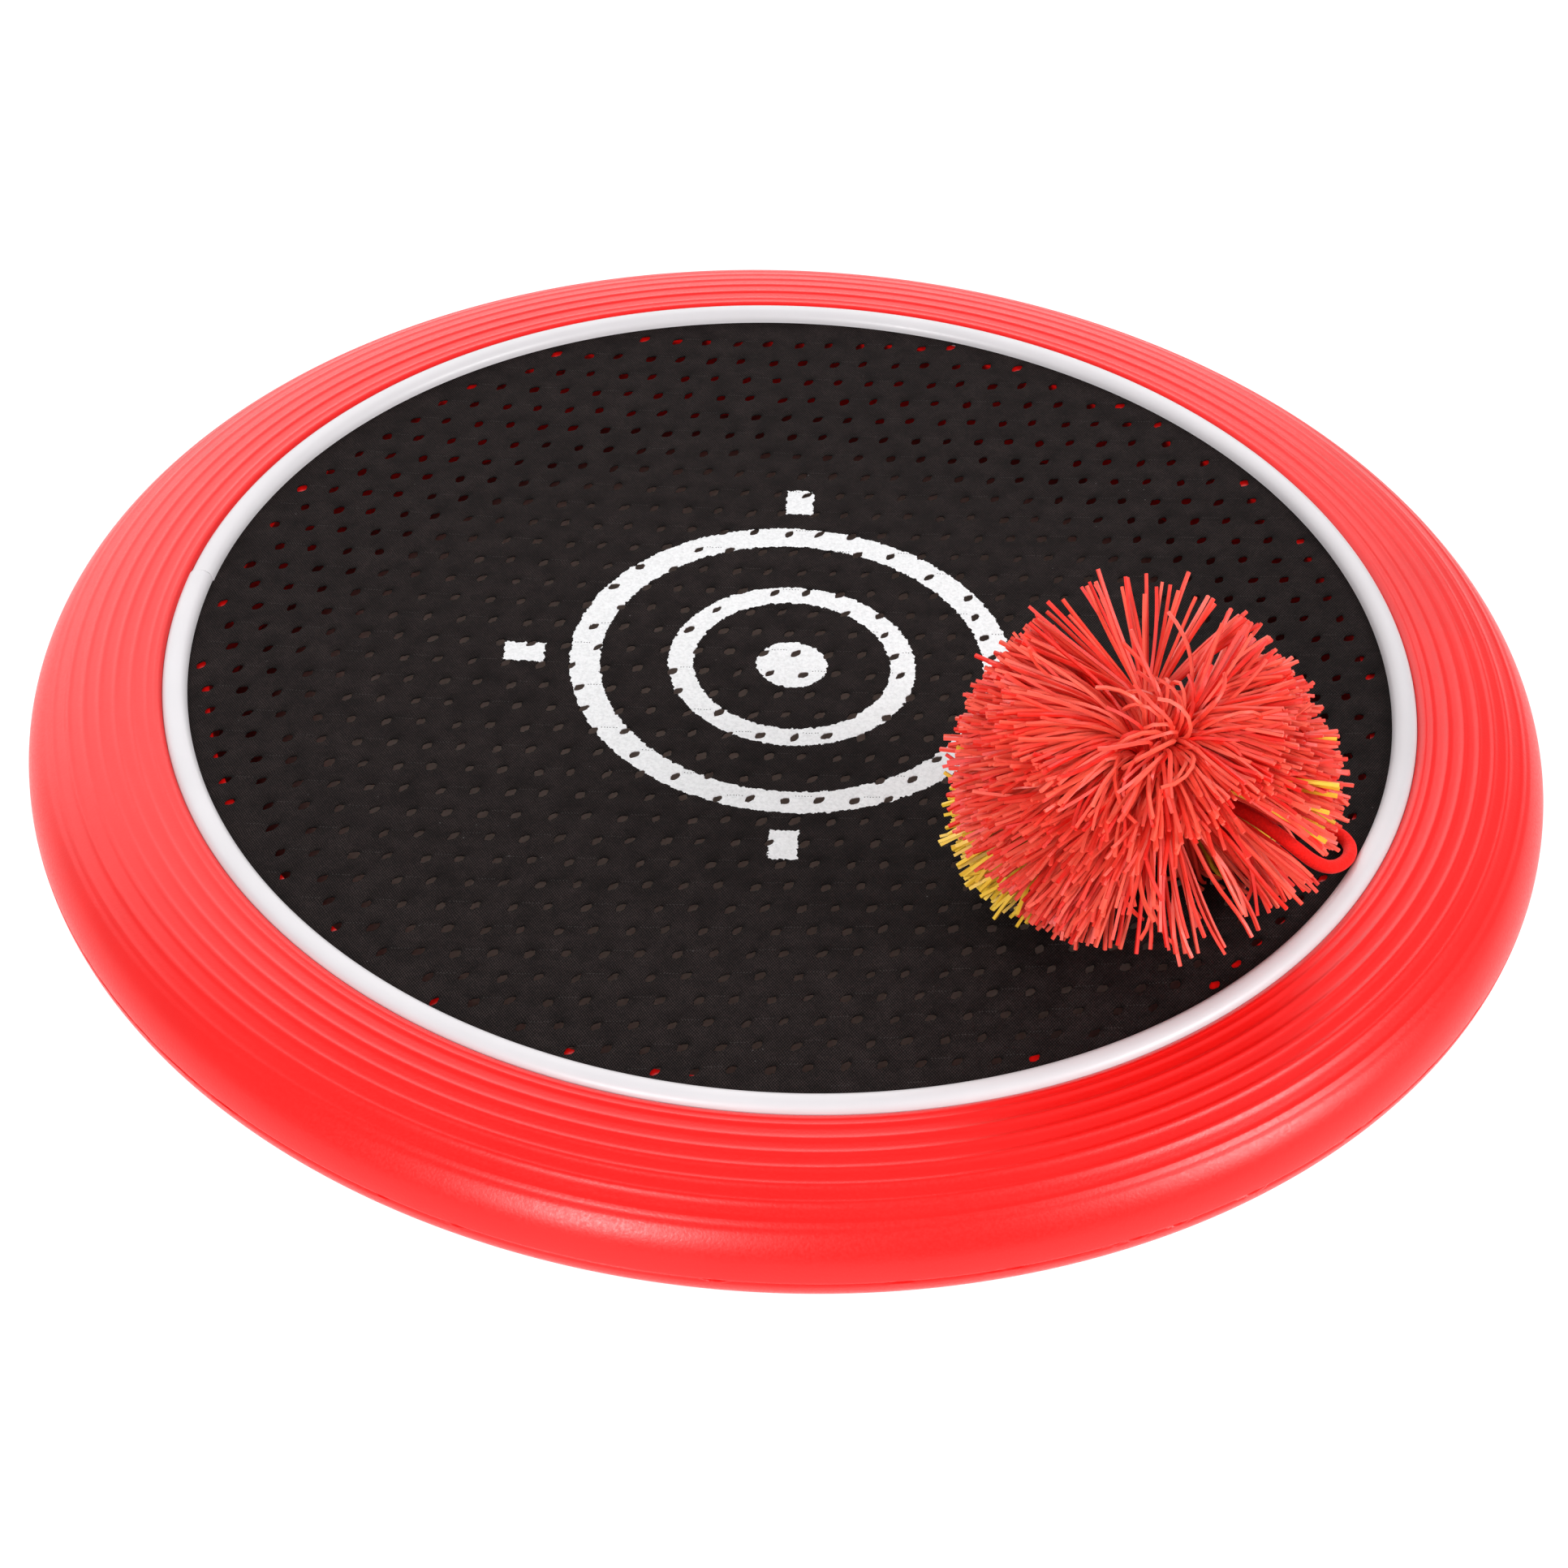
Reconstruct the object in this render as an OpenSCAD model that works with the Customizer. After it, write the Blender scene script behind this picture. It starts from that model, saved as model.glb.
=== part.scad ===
// Trampoline disc bat with a rubber string ball lying on its mesh.
// The origin is the centre of the disc on the table, +Z is up, sizes are in millimetres.

/* [Rim] */
// Diameter of the rim at its widest line
rim_d = 300; // [285:1:320]
// Height of the rim's crest above the table
rim_h = 23.4; // [21.5:0.1:27]
// Height of the widest line, where the two rim shells meet
seam_h = 8.6; // [7.5:0.1:10]
// Width of the rim outside the clamp hoop
rim_w = 27.1; // [26:0.1:29]
// Width of the flange under the mesh, inside the hoops
flange_w = 5; // [4:0.1:10]
// Distance from the widest line in to the edge of the flat foot
foot_inset = 18; // [13:0.5:25]
// Wall thickness of both rim shells
wall = 2.4; // [1.8:0.1:2.8]
// Height of the tongue that centres the upper shell on the lower one
tongue_h = 2; // [1:0.1:2.4]
// Thickness of that tongue
tongue_t = 1.4; // [1:0.1:2]
// Roundness of the rim's outer curve, where 2 is an ellipse
rim_roundness = 2.2; // [2:0.1:2.8]

/* [Ridges] */
// Number of grooves moulded round the top of the rim
groove_count = 7; // [4:1:7]
// Width of the smooth bulge outside the last groove
bulge_w = 5.3; // [4.8:0.1:7]
// Depth of a groove
groove_depth = 0.5; // [0.2:0.05:0.7]
// Distance from the clamp hoop's seat to the first groove
lip_w = 3.1; // [2.8:0.1:3.6]
// Width of the slope on the lip beside the clamp hoop
lip_slope_w = 1.3; // [0.8:0.1:1.6]
// Drop of that slope from the crest to the hoop
lip_slope_h = 0.9; // [0.5:0.1:1.3]

/* [Hoops] */
// Width of the clamp hoop and of the base hoop under it
hoop_w = 4.4; // [4.2:0.1:5.2]
// Height of the clamp hoop's dome above the mesh
hoop_h = 2.3; // [2:0.1:3]
// Height of the base hoop under the mesh
base_h = 3.2; // [2.8:0.1:4.2]
// Width of the rib under the clamp hoop that holds the hem down
rib_w = 0.9; // [0.7:0.1:1.2]
// Depth of that rib below the top of the mesh
rib_depth = 1.9; // [1.4:0.1:2.2]
// Gap between the two ends of the clamp hoop
butt_gap = 0.3; // [0.1:0.1:0.6]
// Direction of that gap, turned from +X
butt_angle = 171.6; // [0:0.2:360]
// Diameter of the pin that joins the hoop's ends
pin_d = 1.2; // [1:0.1:1.3]
// Length of that pin
pin_l = 12; // [8:1:16]

/* [Mesh] */
// Thickness of the knitted mesh
mesh_t = 0.8; // [0.5:0.1:1]
// Depth of the mesh's top below the rim's crest
mesh_drop = 1.4; // [1:0.1:2]
// Reach of the sewn hem past the rim's inner edge
hem_reach = 0.4; // [0.3:0.1:1]
// Distance between the gaps of the mesh along a row
gap_pitch = 13.3; // [13:0.1:20]
// Distance between its rows
row_pitch = 13.3; // [13:0.1:20]
// Lean of the columns of gaps
row_lean = 14.5; // [0:0.5:20]
// Length of a gap
gap_l = 6.4; // [4:0.1:8]
// Width of a gap
gap_w = 4.2; // [3:0.1:6]
// Tilt of a gap's length from the X axis
gap_tilt = 56; // [0:1:90]
// Plain border round the gaps
mesh_border = 3; // [2:0.5:8]

/* [Ball] */
// Place of the ball to the right of the disc's centre, as a share of the mesh's radius
ball_right_ratio = 0.5485; // [0.5:0.0005:0.6]
// Place of the ball in front of the disc's centre, as a share of the mesh's radius
ball_front_ratio = 0.5316; // [0.5:0.0005:0.6]
// Width of the ball across its strands
ball_d = 73; // [66:1:76]
// Height of the ball above its centre
ball_up = 33; // [29:0.5:37]
// Height of the ball's centre above its lowest strand
ball_down = 31; // [30:0.5:33]
// Diameter of the packed root that the strands stand on
root_d = 25; // [24:0.5:26]
// Diameter of the hollow at the middle of the root
root_bore = 12; // [9:0.5:14]
// Diameter of the tie in that hollow
tie_d = 10.4; // [8:0.1:10.8]
// Strands along each edge of a tuft
strands_per_edge = 8; // [6:1:8]
// Rows of yellow strands under the red ones on the left and right
yellow_rows = 3; // [1:1:4]
// Thickness of a strand at its cut end
strand_w = 1.7; // [1:0.1:1.9]
// Most that a strand is shorter than the ball's outline
strand_short = 3.5; // [0:0.5:6]
// Length of the cropped strands beside the finger loop
crop_l = 1; // [0.5:0.1:1.2]

/* [Finger loop] */
// Diameter of the elastic cord
cord_d = 2.6; // [2:0.1:2.8]
// Direction of the loop's tip from the disc's centre, turned from +X
tip_angle = -24; // [-28:0.5:-20]
// Gap between the loop's tip and the clamp hoop
tip_gap = 0.5; // [0.4:0.1:2]
// Length of the knot that ties the cord's two ends
knot_l = 4.6; // [3:0.1:4.8]
// Gap between the knot and the packed root of the strands
knot_gap = 1.5; // [1.2:0.1:2.5]
// Wall of the knot round the cord
knot_wall = 0.9; // [0.5:0.1:1]

/* [Clearances] */
// Gap between the ball, the mesh and the disc, which move apart
run_gap = 0.3; // [0.2:0.05:0.5]
// Gap between fixed pieces that fit together
fit_gap = 0.1; // [0.05:0.05:0.2]
// Gap between the tongue and the upper shell's wall
tongue_gap = 0.6; // [0.5:0.05:0.9]
// Gap between a strand and the finger loop
loop_gap = 0.4; // [0.3:0.05:0.6]

/* [Hidden] */
$fn = 96;

RED = "#e8352d";
CORAL = "#f2544a";
YELLOW = "#f5c518";
WHITE = "#f4f3f1";
BLACK = "#1b1a1c";
ELASTIC = "#dd1c12";

// Levels, from the table upwards
mesh_top = rim_h - mesh_drop;
mesh_base = mesh_top - mesh_t;
seat_z = mesh_base - base_h;
hoop_top = mesh_top + hoop_h;

// Radii, from the middle outwards
rim_r = rim_d / 2;
foot_r = rim_r - foot_inset;
hoop_out = rim_r - rim_w;
hoop_in = hoop_out - hoop_w;
hoop_mid = (hoop_in + hoop_out) / 2;
bore_r = hoop_in - flange_w;
hem_r = bore_r - hem_reach;
panel_r = hem_r - run_gap;
lip_r = hoop_out + 2 * fit_gap;
crest_r = lip_r + lip_slope_w;
skin_r = lip_r + wall;
first_groove_r = lip_r + lip_w;
last_groove_r = rim_r - bulge_w;
groove_pitch = (last_groove_r - first_groove_r) / (groove_count - 1);

// Rim curves: a rounded quarter from the crest or the foot out to the widest line
function round_quarter(t) = pow(t, 2 / rim_roundness);
function quarter_height(x) = pow(1 - pow(x, rim_roundness), 1 / rim_roundness);
function top_z(r) = seam_h + (rim_h - seam_h) * quarter_height((r - crest_r) / (rim_r - crest_r));
function under_skin_z(r) =
  seam_h + (rim_h - wall - seam_h) * quarter_height((r - crest_r) / (rim_r - wall - crest_r));
bulge_start = asin(pow((last_groove_r - crest_r) / (rim_r - crest_r), rim_roundness / 2));
CURVE_STEPS = 6;

// Outer skin from the lip over the grooves to the widest line
RIDGE_SHOULDERS = [0.3, 0.7];
ridge_points = [
  for (k = [0:groove_count - 1])
    let(r = first_groove_r + k * groove_pitch)
      each concat(
        [[r, top_z(r) - groove_depth]],
        k == groove_count - 1 ? [] :
          [for (s = RIDGE_SHOULDERS) [r + s * groove_pitch, top_z(r + s * groove_pitch)]])
];
bulge_points = [
  for (k = [1:CURVE_STEPS])
    let(t = bulge_start + (90 - bulge_start) * k / CURVE_STEPS)
      [crest_r + (rim_r - crest_r) * round_quarter(sin(t)), seam_h + (rim_h - seam_h) * round_quarter(cos(t))]
];
under_skin_points = [
  for (k = [CURVE_STEPS:-1:1])
    let(t = 90 * k / CURVE_STEPS)
      [crest_r + (rim_r - wall - crest_r) * round_quarter(sin(t)),
       seam_h + (rim_h - wall - seam_h) * round_quarter(cos(t))]
];

module rim_upper_shell() {
  channel_in = hoop_in - fit_gap;
  color(RED) rotate_extrude() polygon(concat(
    [[bore_r, seam_h], [bore_r, mesh_base], [channel_in, mesh_base], [channel_in, seat_z],
     [lip_r, seat_z], [lip_r, rim_h - lip_slope_h], [crest_r, rim_h]],
    ridge_points, bulge_points, under_skin_points,
    [[skin_r, under_skin_z(skin_r)], [skin_r, seat_z - wall],
     [bore_r + wall, seat_z - wall], [bore_r + wall, seam_h]]));
}

module rim_lower_shell() {
  tongue_out = rim_r - wall - tongue_gap;
  tongue_in = tongue_out - tongue_t;
  floor_r = foot_r - wall;
  // The hollow starts half a wall below the seam
  hollow_top = seam_h - wall / 2;
  outer_curve = [
    for (k = [1:CURVE_STEPS])
      let(t = 90 * k / CURVE_STEPS)
        [foot_r + (rim_r - foot_r) * round_quarter(sin(t)), seam_h * (1 - round_quarter(cos(t)))]
  ];
  inner_curve = [
    for (k = [CURVE_STEPS:-1:0])
      let(t = 90 * k / CURVE_STEPS)
        [floor_r + (tongue_in - floor_r) * round_quarter(sin(t)),
         hollow_top - (hollow_top - wall) * round_quarter(cos(t))]
  ];
  color(RED) rotate_extrude() polygon(concat(
    [[bore_r, 0], [foot_r, 0]], outer_curve,
    [[tongue_out, seam_h], [tongue_out, seam_h + tongue_h], [tongue_in, seam_h + tongue_h]],
    inner_curve, [[bore_r + wall, wall], [bore_r + wall, seam_h], [bore_r, seam_h]]));
}

// The hem is pressed into a groove of the base hoop by the clamp hoop's rib
rib_in = hoop_mid - rib_w / 2;
rib_out = hoop_mid + rib_w / 2;
rib_z = mesh_top - rib_depth;
hem_in_leg = rib_in - fit_gap;
hem_out_leg = rib_out + fit_gap;
groove_in = hem_in_leg - mesh_t - fit_gap;
groove_out = hem_out_leg + mesh_t + fit_gap;
hem_fold_z = rib_z - fit_gap;
groove_z = hem_fold_z - mesh_t - fit_gap;

module base_hoop() {
  color(WHITE) rotate_extrude() polygon([
    [hoop_in, seat_z], [hoop_out, seat_z], [hoop_out, mesh_base], [groove_out, mesh_base],
    [groove_out, groove_z], [groove_in, groove_z], [groove_in, mesh_base], [hoop_in, mesh_base]]);
}

module mesh_hem() {
  fold_in = groove_in + fit_gap;
  fold_out = groove_out - fit_gap;
  fold_base = groove_z + fit_gap;
  color(BLACK) rotate_extrude() polygon([
    [hem_r, mesh_base], [fold_in, mesh_base], [fold_in, fold_base], [fold_out, fold_base],
    [fold_out, mesh_base], [hoop_out, mesh_base], [hoop_out, mesh_top], [hem_out_leg, mesh_top],
    [hem_out_leg, hem_fold_z], [hem_in_leg, hem_fold_z], [hem_in_leg, mesh_top], [hem_r, mesh_top]]);
}

// The clamp hoop is one bar bent round, so its two ends meet at a butt joint
DOME_STEPS = 10;
PIN_LEVEL = 0.45;
pin_z = mesh_top + PIN_LEVEL * hoop_h;

module at_butt_joint() {
  rotate([0, 0, butt_angle]) translate([hoop_mid, 0, pin_z]) rotate([90, 0, 0]) children();
}

module clamp_hoop() {
  dome = [
    for (k = [0:DOME_STEPS])
      let(t = 180 * k / DOME_STEPS)
        [hoop_mid + hoop_w / 2 * cos(t), mesh_top + hoop_h * sin(t)]
  ];
  color(WHITE) difference() {
    rotate_extrude() polygon(concat(
      dome, [[rib_in, mesh_top], [rib_in, rib_z], [rib_out, rib_z], [rib_out, mesh_top]]));
    at_butt_joint() cylinder(d = pin_d + fit_gap, h = pin_l + 2 * fit_gap, center = true);
    at_butt_joint() cube([2 * hoop_w, 4 * (hoop_h + rib_depth), butt_gap], center = true);
  }
}

module hoop_splice_pin() {
  color("silver") at_butt_joint() cylinder(d = pin_d, h = pin_l, center = true);
}

module mesh_gap() {
  rotate(gap_tilt) polygon([[-gap_l / 2, 0], [0, -gap_w / 2], [gap_l / 2, 0], [0, gap_w / 2]]);
}

module mesh_panel() {
  rows = ceil(panel_r / row_pitch);
  columns = ceil(panel_r * (1 + tan(row_lean)) / gap_pitch);
  gap_reach = panel_r - mesh_border - gap_l / 2;
  color(BLACK) translate([0, 0, mesh_base]) linear_extrude(mesh_t) difference() {
    circle(panel_r);
    for (j = [-rows:rows])
      for (i = [-columns:columns]) {
        place = [i * gap_pitch - j * row_pitch * tan(row_lean), j * row_pitch];
        if (norm(place) < gap_reach) translate(place) mesh_gap();
      }
  }
}

function unit(v) = v / norm(v);

ball_centre = [ball_right_ratio * hoop_in, -ball_front_ratio * hoop_in, mesh_top + run_gap + ball_down];

// The finger loop's route out of the ball to its tip on the mesh and back:
// share of the way out, cord diameters aside, share of the root's height
LOOP_ROUTE = [
  [0, -0.61, 1], [0.108, -0.65, 0.897], [0.244, -1, 0.742], [0.379, -1.35, 0.562],
  [0.515, -1.7, 0.361], [0.637, -1.92, 0.186], [0.749, -1.88, 0.067], [0.852, -1.57, 0.01],
  [0.946, -0.97, 0], [1, 0, 0], [0.995, 1.17, 0], [0.927, 2.14, 0.01], [0.814, 2.52, 0.062],
  [0.688, 2.38, 0.165], [0.546, 1.98, 0.32], [0.392, 1.47, 0.515], [0.245, 0.92, 0.722],
  [0.111, 0.57, 0.897], [0, 0.61, 1]
];
// Direction of the loop's root from the ball's centre
LOOP_ROOT_WAY = [0.78, 0.294, -0.552];
CORD_SIDES = 8;
loop_last = len(LOOP_ROUTE) - 1;
loop_root = ball_centre + (root_d / 2 + knot_gap + knot_l) * unit(LOOP_ROOT_WAY);
rest_z = mesh_top + run_gap + cord_d / 2;
tip_r = hoop_in - tip_gap - cord_d / 2;
loop_foot = [loop_root.x, loop_root.y, rest_z];
loop_way = [tip_r * cos(tip_angle), tip_r * sin(tip_angle), rest_z] - loop_foot;
loop_aside = cord_d * unit(cross([0, 0, 1], loop_way));
loop_rise = [0, 0, loop_root.z - rest_z];
route = [for (p = LOOP_ROUTE) loop_foot + p[0] * loop_way + p[1] * loop_aside + p[2] * loop_rise];
loop_start = (route[0] + route[loop_last]) / 2;

loop_out = unit(route[1] - route[0]);
loop_across = unit(route[loop_last] - route[0]);
leg_gap = norm(route[loop_last] - route[0]);

function route_way(k) = unit(route[min(k + 1, loop_last)] - route[max(k - 1, 0)]);
function route_side(k) = unit(cross([0, 0, 1], route_way(k)));
function cord_ring(k) = [
  for (s = [0:CORD_SIDES - 1])
    let(turn = 360 * s / CORD_SIDES)
      route[k] + cord_d / 2 * (cos(turn) * route_side(k) + sin(turn) * cross(route_way(k), route_side(k)))
];

module finger_loop() {
  points = [for (k = [0:loop_last]) each cord_ring(k)];
  sides = [
    for (k = [0:loop_last - 1])
      for (s = [0:CORD_SIDES - 1])
        let(a = k * CORD_SIDES + s, b = k * CORD_SIDES + (s + 1) % CORD_SIDES)
          each [[a, a + CORD_SIDES, b], [b, a + CORD_SIDES, b + CORD_SIDES]]
  ];
  first_end = [for (s = [1:CORD_SIDES - 2]) [0, s, s + 1]];
  last = loop_last * CORD_SIDES;
  last_end = [for (s = [1:CORD_SIDES - 2]) [last, last + s + 1, last + s]];
  color(ELASTIC) polyhedron(points, concat(sides, first_end, last_end));
}

module loop_knot() {
  loop_up = cross(loop_out, loop_across);
  frame = [
    [loop_across.x, loop_up.x, loop_out.x, loop_start.x],
    [loop_across.y, loop_up.y, loop_out.y, loop_start.y],
    [loop_across.z, loop_up.z, loop_out.z, loop_start.z]
  ];
  knot_d = cord_d + 2 * knot_wall;
  color(ELASTIC) multmatrix(frame) translate([0, 0, -knot_l]) {
    for (side = [-1, 1])
      translate([side * leg_gap / 2, 0, 0]) cylinder(d = knot_d, h = knot_l);
    translate([-leg_gap / 2, -knot_d / 2, 0]) cube([leg_gap, knot_d, knot_l]);
  }
}

module core_tie() {
  color(ELASTIC) translate(ball_centre) sphere(d = tie_d);
}

// Tufts: one for each face of a cube, as its outward, sideways and upward directions
CROWN = [[0, 0, 1], [1, 0, 0], [0, 1, 0]];
BASE = [[0, 0, -1], [0, 1, 0], [1, 0, 0]];
RIGHT = [[1, 0, 0], [0, 1, 0], [0, 0, 1]];
LEFT = [[-1, 0, 0], [0, -1, 0], [0, 0, 1]];
BACK = [[0, 1, 0], [-1, 0, 0], [0, 0, 1]];
FRONT = [[0, -1, 0], [1, 0, 0], [0, 0, 1]];

root_r = root_d / 2;
// Half of the gap between two tufts, as an angle at the root
tuft_inset = fit_gap / root_r * 180 / PI;
strand_reach = strand_w * sqrt(0.5);
cord_clear = cord_d / 2 + strand_reach + loop_gap;
knot_clear = cord_clear + knot_wall;
LOOP_SAMPLES = 3;
loop_near = [
  for (k = [0:loop_last - 1])
    for (s = [0:LOOP_SAMPLES - 1])
      route[k] + (route[k + 1] - route[k]) * s / LOOP_SAMPLES - ball_centre
];
knot_near = [
  for (s = [-1:1])
    for (k = [0:LOOP_SAMPLES])
      loop_start + s * leg_gap / 2 * loop_across - k * knot_l / LOOP_SAMPLES * loop_out - ball_centre
];

function noise(a, b) = let(s = 437.585 * sin(127.1 * a + 311.7 * b)) s - floor(s);
function ball_reach(d) =
  1 / norm([2 * d.x / ball_d, 2 * d.y / ball_d, d.z / (d.z > 0 ? ball_up : ball_down)]);
function apart(p, d, reach) = norm(p - d * max(root_r, min(reach, p * d)));
function is_clear(d, reach) =
  min([for (p = loop_near) apart(p, d, reach)]) > cord_clear
  && min([for (p = knot_near) apart(p, d, reach)]) > knot_clear;
function face_way(face, a, b) = unit(face[0] + tan(a) * face[1] + tan(b) * face[2]);
function cell_edge(k, first, last) =
  -45 + 90 * k / strands_per_edge + (k == first ? tuft_inset : 0) - (k == last ? tuft_inset : 0);
function cell_middle(k) = -45 + 90 * (k + 0.5) / strands_per_edge;

// One strand's cut end, as four corners round its middle
function strand_end(face, i, j) =
  let(
    way = face_way(face, cell_middle(i), cell_middle(j)),
    full = ball_reach(way) - strand_short * noise(i + 17 * face[0].x + 29 * face[0].z, j + 11 * face[0].y),
    reach = is_clear(way, full) ? full : root_r + crop_l,
    across = unit(cross(face[2], way)),
    up = cross(way, across),
    h = strand_w / 2)
  [for (c = [[-1, -1], [1, -1], [1, 1], [-1, 1]]) way * reach + h * (c[0] * across + c[1] * up)];

// A tuft: a slice of the packed root with a strand standing on each cell of its outer face
module tuft(face, first_row, last_row) {
  n = strands_per_edge;
  rows = last_row - first_row;
  function way(i, j) = face_way(face, cell_edge(i, 0, n), cell_edge(j, first_row, last_row));
  grid = [for (j = [first_row:last_row]) for (i = [0:n]) root_r * way(i, j)];
  ends = [for (j = [first_row:last_row - 1]) for (i = [0:n - 1]) each strand_end(face, i, j)];
  border = concat(
    [for (i = [0:n - 1]) [i, 0]], [for (j = [0:rows - 1]) [n, j]],
    [for (i = [n:-1:1]) [i, rows]], [for (j = [rows:-1:1]) [0, j]]);
  inner = [for (b = border) root_bore / 2 * way(b[0], b[1] + first_row)];
  low_edge = cell_edge(first_row, first_row, last_row);
  high_edge = cell_edge(last_row, first_row, last_row);
  middle = face_way(face, 0, (low_edge + high_edge) / 2);
  points = concat(grid, ends, inner, [root_bore / 2 * middle]);
  end_start = len(grid);
  inner_start = end_start + len(ends);
  centre = len(points) - 1;
  strand_faces = [
    for (j = [0:rows - 1])
      for (i = [0:n - 1])
        let(
          g = j * (n + 1) + i,
          foot = [g, g + 1, g + n + 2, g + n + 1],
          tip = end_start + 4 * (j * n + i))
          each concat(
            [for (k = [0:3]) each [
              [foot[k], tip + (k + 1) % 4, foot[(k + 1) % 4]],
              [foot[k], tip + k, tip + (k + 1) % 4]]],
            [[tip, tip + 2, tip + 1], [tip, tip + 3, tip + 2]])
  ];
  root_faces = [
    for (m = [0:len(border) - 1])
      let(
        next = (m + 1) % len(border),
        o = border[m][1] * (n + 1) + border[m][0],
        o_next = border[next][1] * (n + 1) + border[next][0],
        b = inner_start + m,
        b_next = inner_start + next)
        each [[b, o_next, b_next], [b, o, o_next], [centre, b, b_next]]
  ];
  translate(ball_centre) polyhedron(points, concat(strand_faces, root_faces));
}

module red_strands_crown() { color(CORAL) tuft(CROWN, 0, strands_per_edge); }
module red_strands_left() { color(CORAL) tuft(LEFT, yellow_rows, strands_per_edge); }
module red_strands_right() { color(CORAL) tuft(RIGHT, yellow_rows, strands_per_edge); }
module red_strands_front() { color(CORAL) tuft(FRONT, 0, strands_per_edge); }
module red_strands_back() { color(CORAL) tuft(BACK, 0, strands_per_edge); }
module red_strands_base() { color(CORAL) tuft(BASE, 0, strands_per_edge); }
module yellow_strands_left() { color(YELLOW) tuft(LEFT, 0, yellow_rows); }
module yellow_strands_right() { color(YELLOW) tuft(RIGHT, 0, yellow_rows); }

rim_upper_shell();
rim_lower_shell();
base_hoop();
clamp_hoop();
hoop_splice_pin();
mesh_hem();
mesh_panel();
core_tie();
red_strands_crown();
red_strands_left();
red_strands_right();
red_strands_front();
red_strands_back();
red_strands_base();
yellow_strands_left();
yellow_strands_right();
loop_knot();
finger_loop();
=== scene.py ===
from math import asin, atan2, copysign, cos, exp, pi, radians, sin

import bmesh
import bpy
import numpy as np
from mathutils import Matrix, Vector


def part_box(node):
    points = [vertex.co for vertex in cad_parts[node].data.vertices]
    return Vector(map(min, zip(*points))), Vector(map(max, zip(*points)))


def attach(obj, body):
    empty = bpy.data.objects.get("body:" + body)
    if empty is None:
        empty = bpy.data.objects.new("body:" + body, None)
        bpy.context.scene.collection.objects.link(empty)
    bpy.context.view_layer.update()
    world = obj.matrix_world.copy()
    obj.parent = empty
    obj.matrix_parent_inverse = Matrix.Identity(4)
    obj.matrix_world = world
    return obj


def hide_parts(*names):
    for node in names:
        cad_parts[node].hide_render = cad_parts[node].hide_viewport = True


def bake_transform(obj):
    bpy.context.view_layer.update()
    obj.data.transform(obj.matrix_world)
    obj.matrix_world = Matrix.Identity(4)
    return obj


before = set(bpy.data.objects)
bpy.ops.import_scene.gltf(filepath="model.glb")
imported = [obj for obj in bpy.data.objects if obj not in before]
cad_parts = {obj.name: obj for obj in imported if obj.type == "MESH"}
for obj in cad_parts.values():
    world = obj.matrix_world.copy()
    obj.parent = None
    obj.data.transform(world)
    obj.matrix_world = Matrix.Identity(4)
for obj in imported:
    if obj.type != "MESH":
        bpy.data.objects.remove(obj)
scene = bpy.context.scene
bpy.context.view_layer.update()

# Lengths are in metres, and typed ones are millimetres times MM.
MM = 0.001
# All random draws come from here, in the order of building.
rng = np.random.default_rng(7)
norm = np.linalg.norm

# Sizes that the frame gives
rim_low, rim_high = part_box("rim_upper_shell")
hoop_low, hoop_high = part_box("clamp_hoop")
panel_low, panel_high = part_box("mesh_panel")
tie_low, tie_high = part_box("core_tie")
RIM_R = rim_high.x
CREST_Z = rim_high.z
SEAM_Z = rim_low.z
HOOP_OUT = hoop_high.x
HOOP_TOP = hoop_high.z
MESH_Z = panel_high.z
MESH_BASE = panel_low.z
BALL = (tie_low + tie_high) / 2
CENTRE = np.array(BALL)

# Sizes that the part's source gives
HOOP_W = 4.4 * MM
FOOT_INSET = 18.0 * MM
WALL = 2.4 * MM
TONGUE_H = 2.0 * MM
TONGUE_T = 1.4 * MM
TONGUE_GAP = 0.6 * MM
BASE_H = 3.2 * MM
FIT_GAP = 0.1 * MM
RUN_GAP = 0.3 * MM
LIP_W = 3.1 * MM
BULGE_W = 5.3 * MM
RIBS = 7
ROUNDNESS = 2.2
BUTT_ANGLE = radians(171.6)
ROOT_R = 12.5 * MM
CORD_D = 2.6 * MM
KNOT_L = 4.6 * MM
KNOT_GAP = 1.5 * MM
TIP_GAP = 0.5 * MM
TIP_ANGLE = radians(-24)

# Sizes that differ a little from the solids', as in the photograph
FLANGE_W = 4.2 * MM
LIP_SLOPE_W = 1.7 * MM
LIP_SLOPE_H = 0.7 * MM
HOOP_EXTRA = 0.45 * MM
HOOP_PLAY = 0.02 * MM
BUTT_GAP = 0.06 * MM

HOOP_IN = HOOP_OUT - HOOP_W
HOOP_EDGE = HOOP_OUT + HOOP_EXTRA
BORE_R = HOOP_IN - FLANGE_W
FOOT_R = RIM_R - FOOT_INSET
LIP_R = HOOP_OUT + 2 * FIT_GAP
LIP_IN_R = HOOP_EDGE + HOOP_PLAY
CREST_R = LIP_R + LIP_SLOPE_W
FIRST_RIB_R = LIP_R + LIP_W
LAST_RIB_R = RIM_R - BULGE_W
RIB_PITCH = (LAST_RIB_R - FIRST_RIB_R) / (RIBS - 1)
SEAT_Z = MESH_BASE - BASE_H

# Edges sharper than this, in degrees, stay sharp
SMOOTH_ANGLE = 50
# The span in which most of a noise lies
NOISE_SPAN = (0.3, 0.7)


# Small helpers for objects and materials

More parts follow.
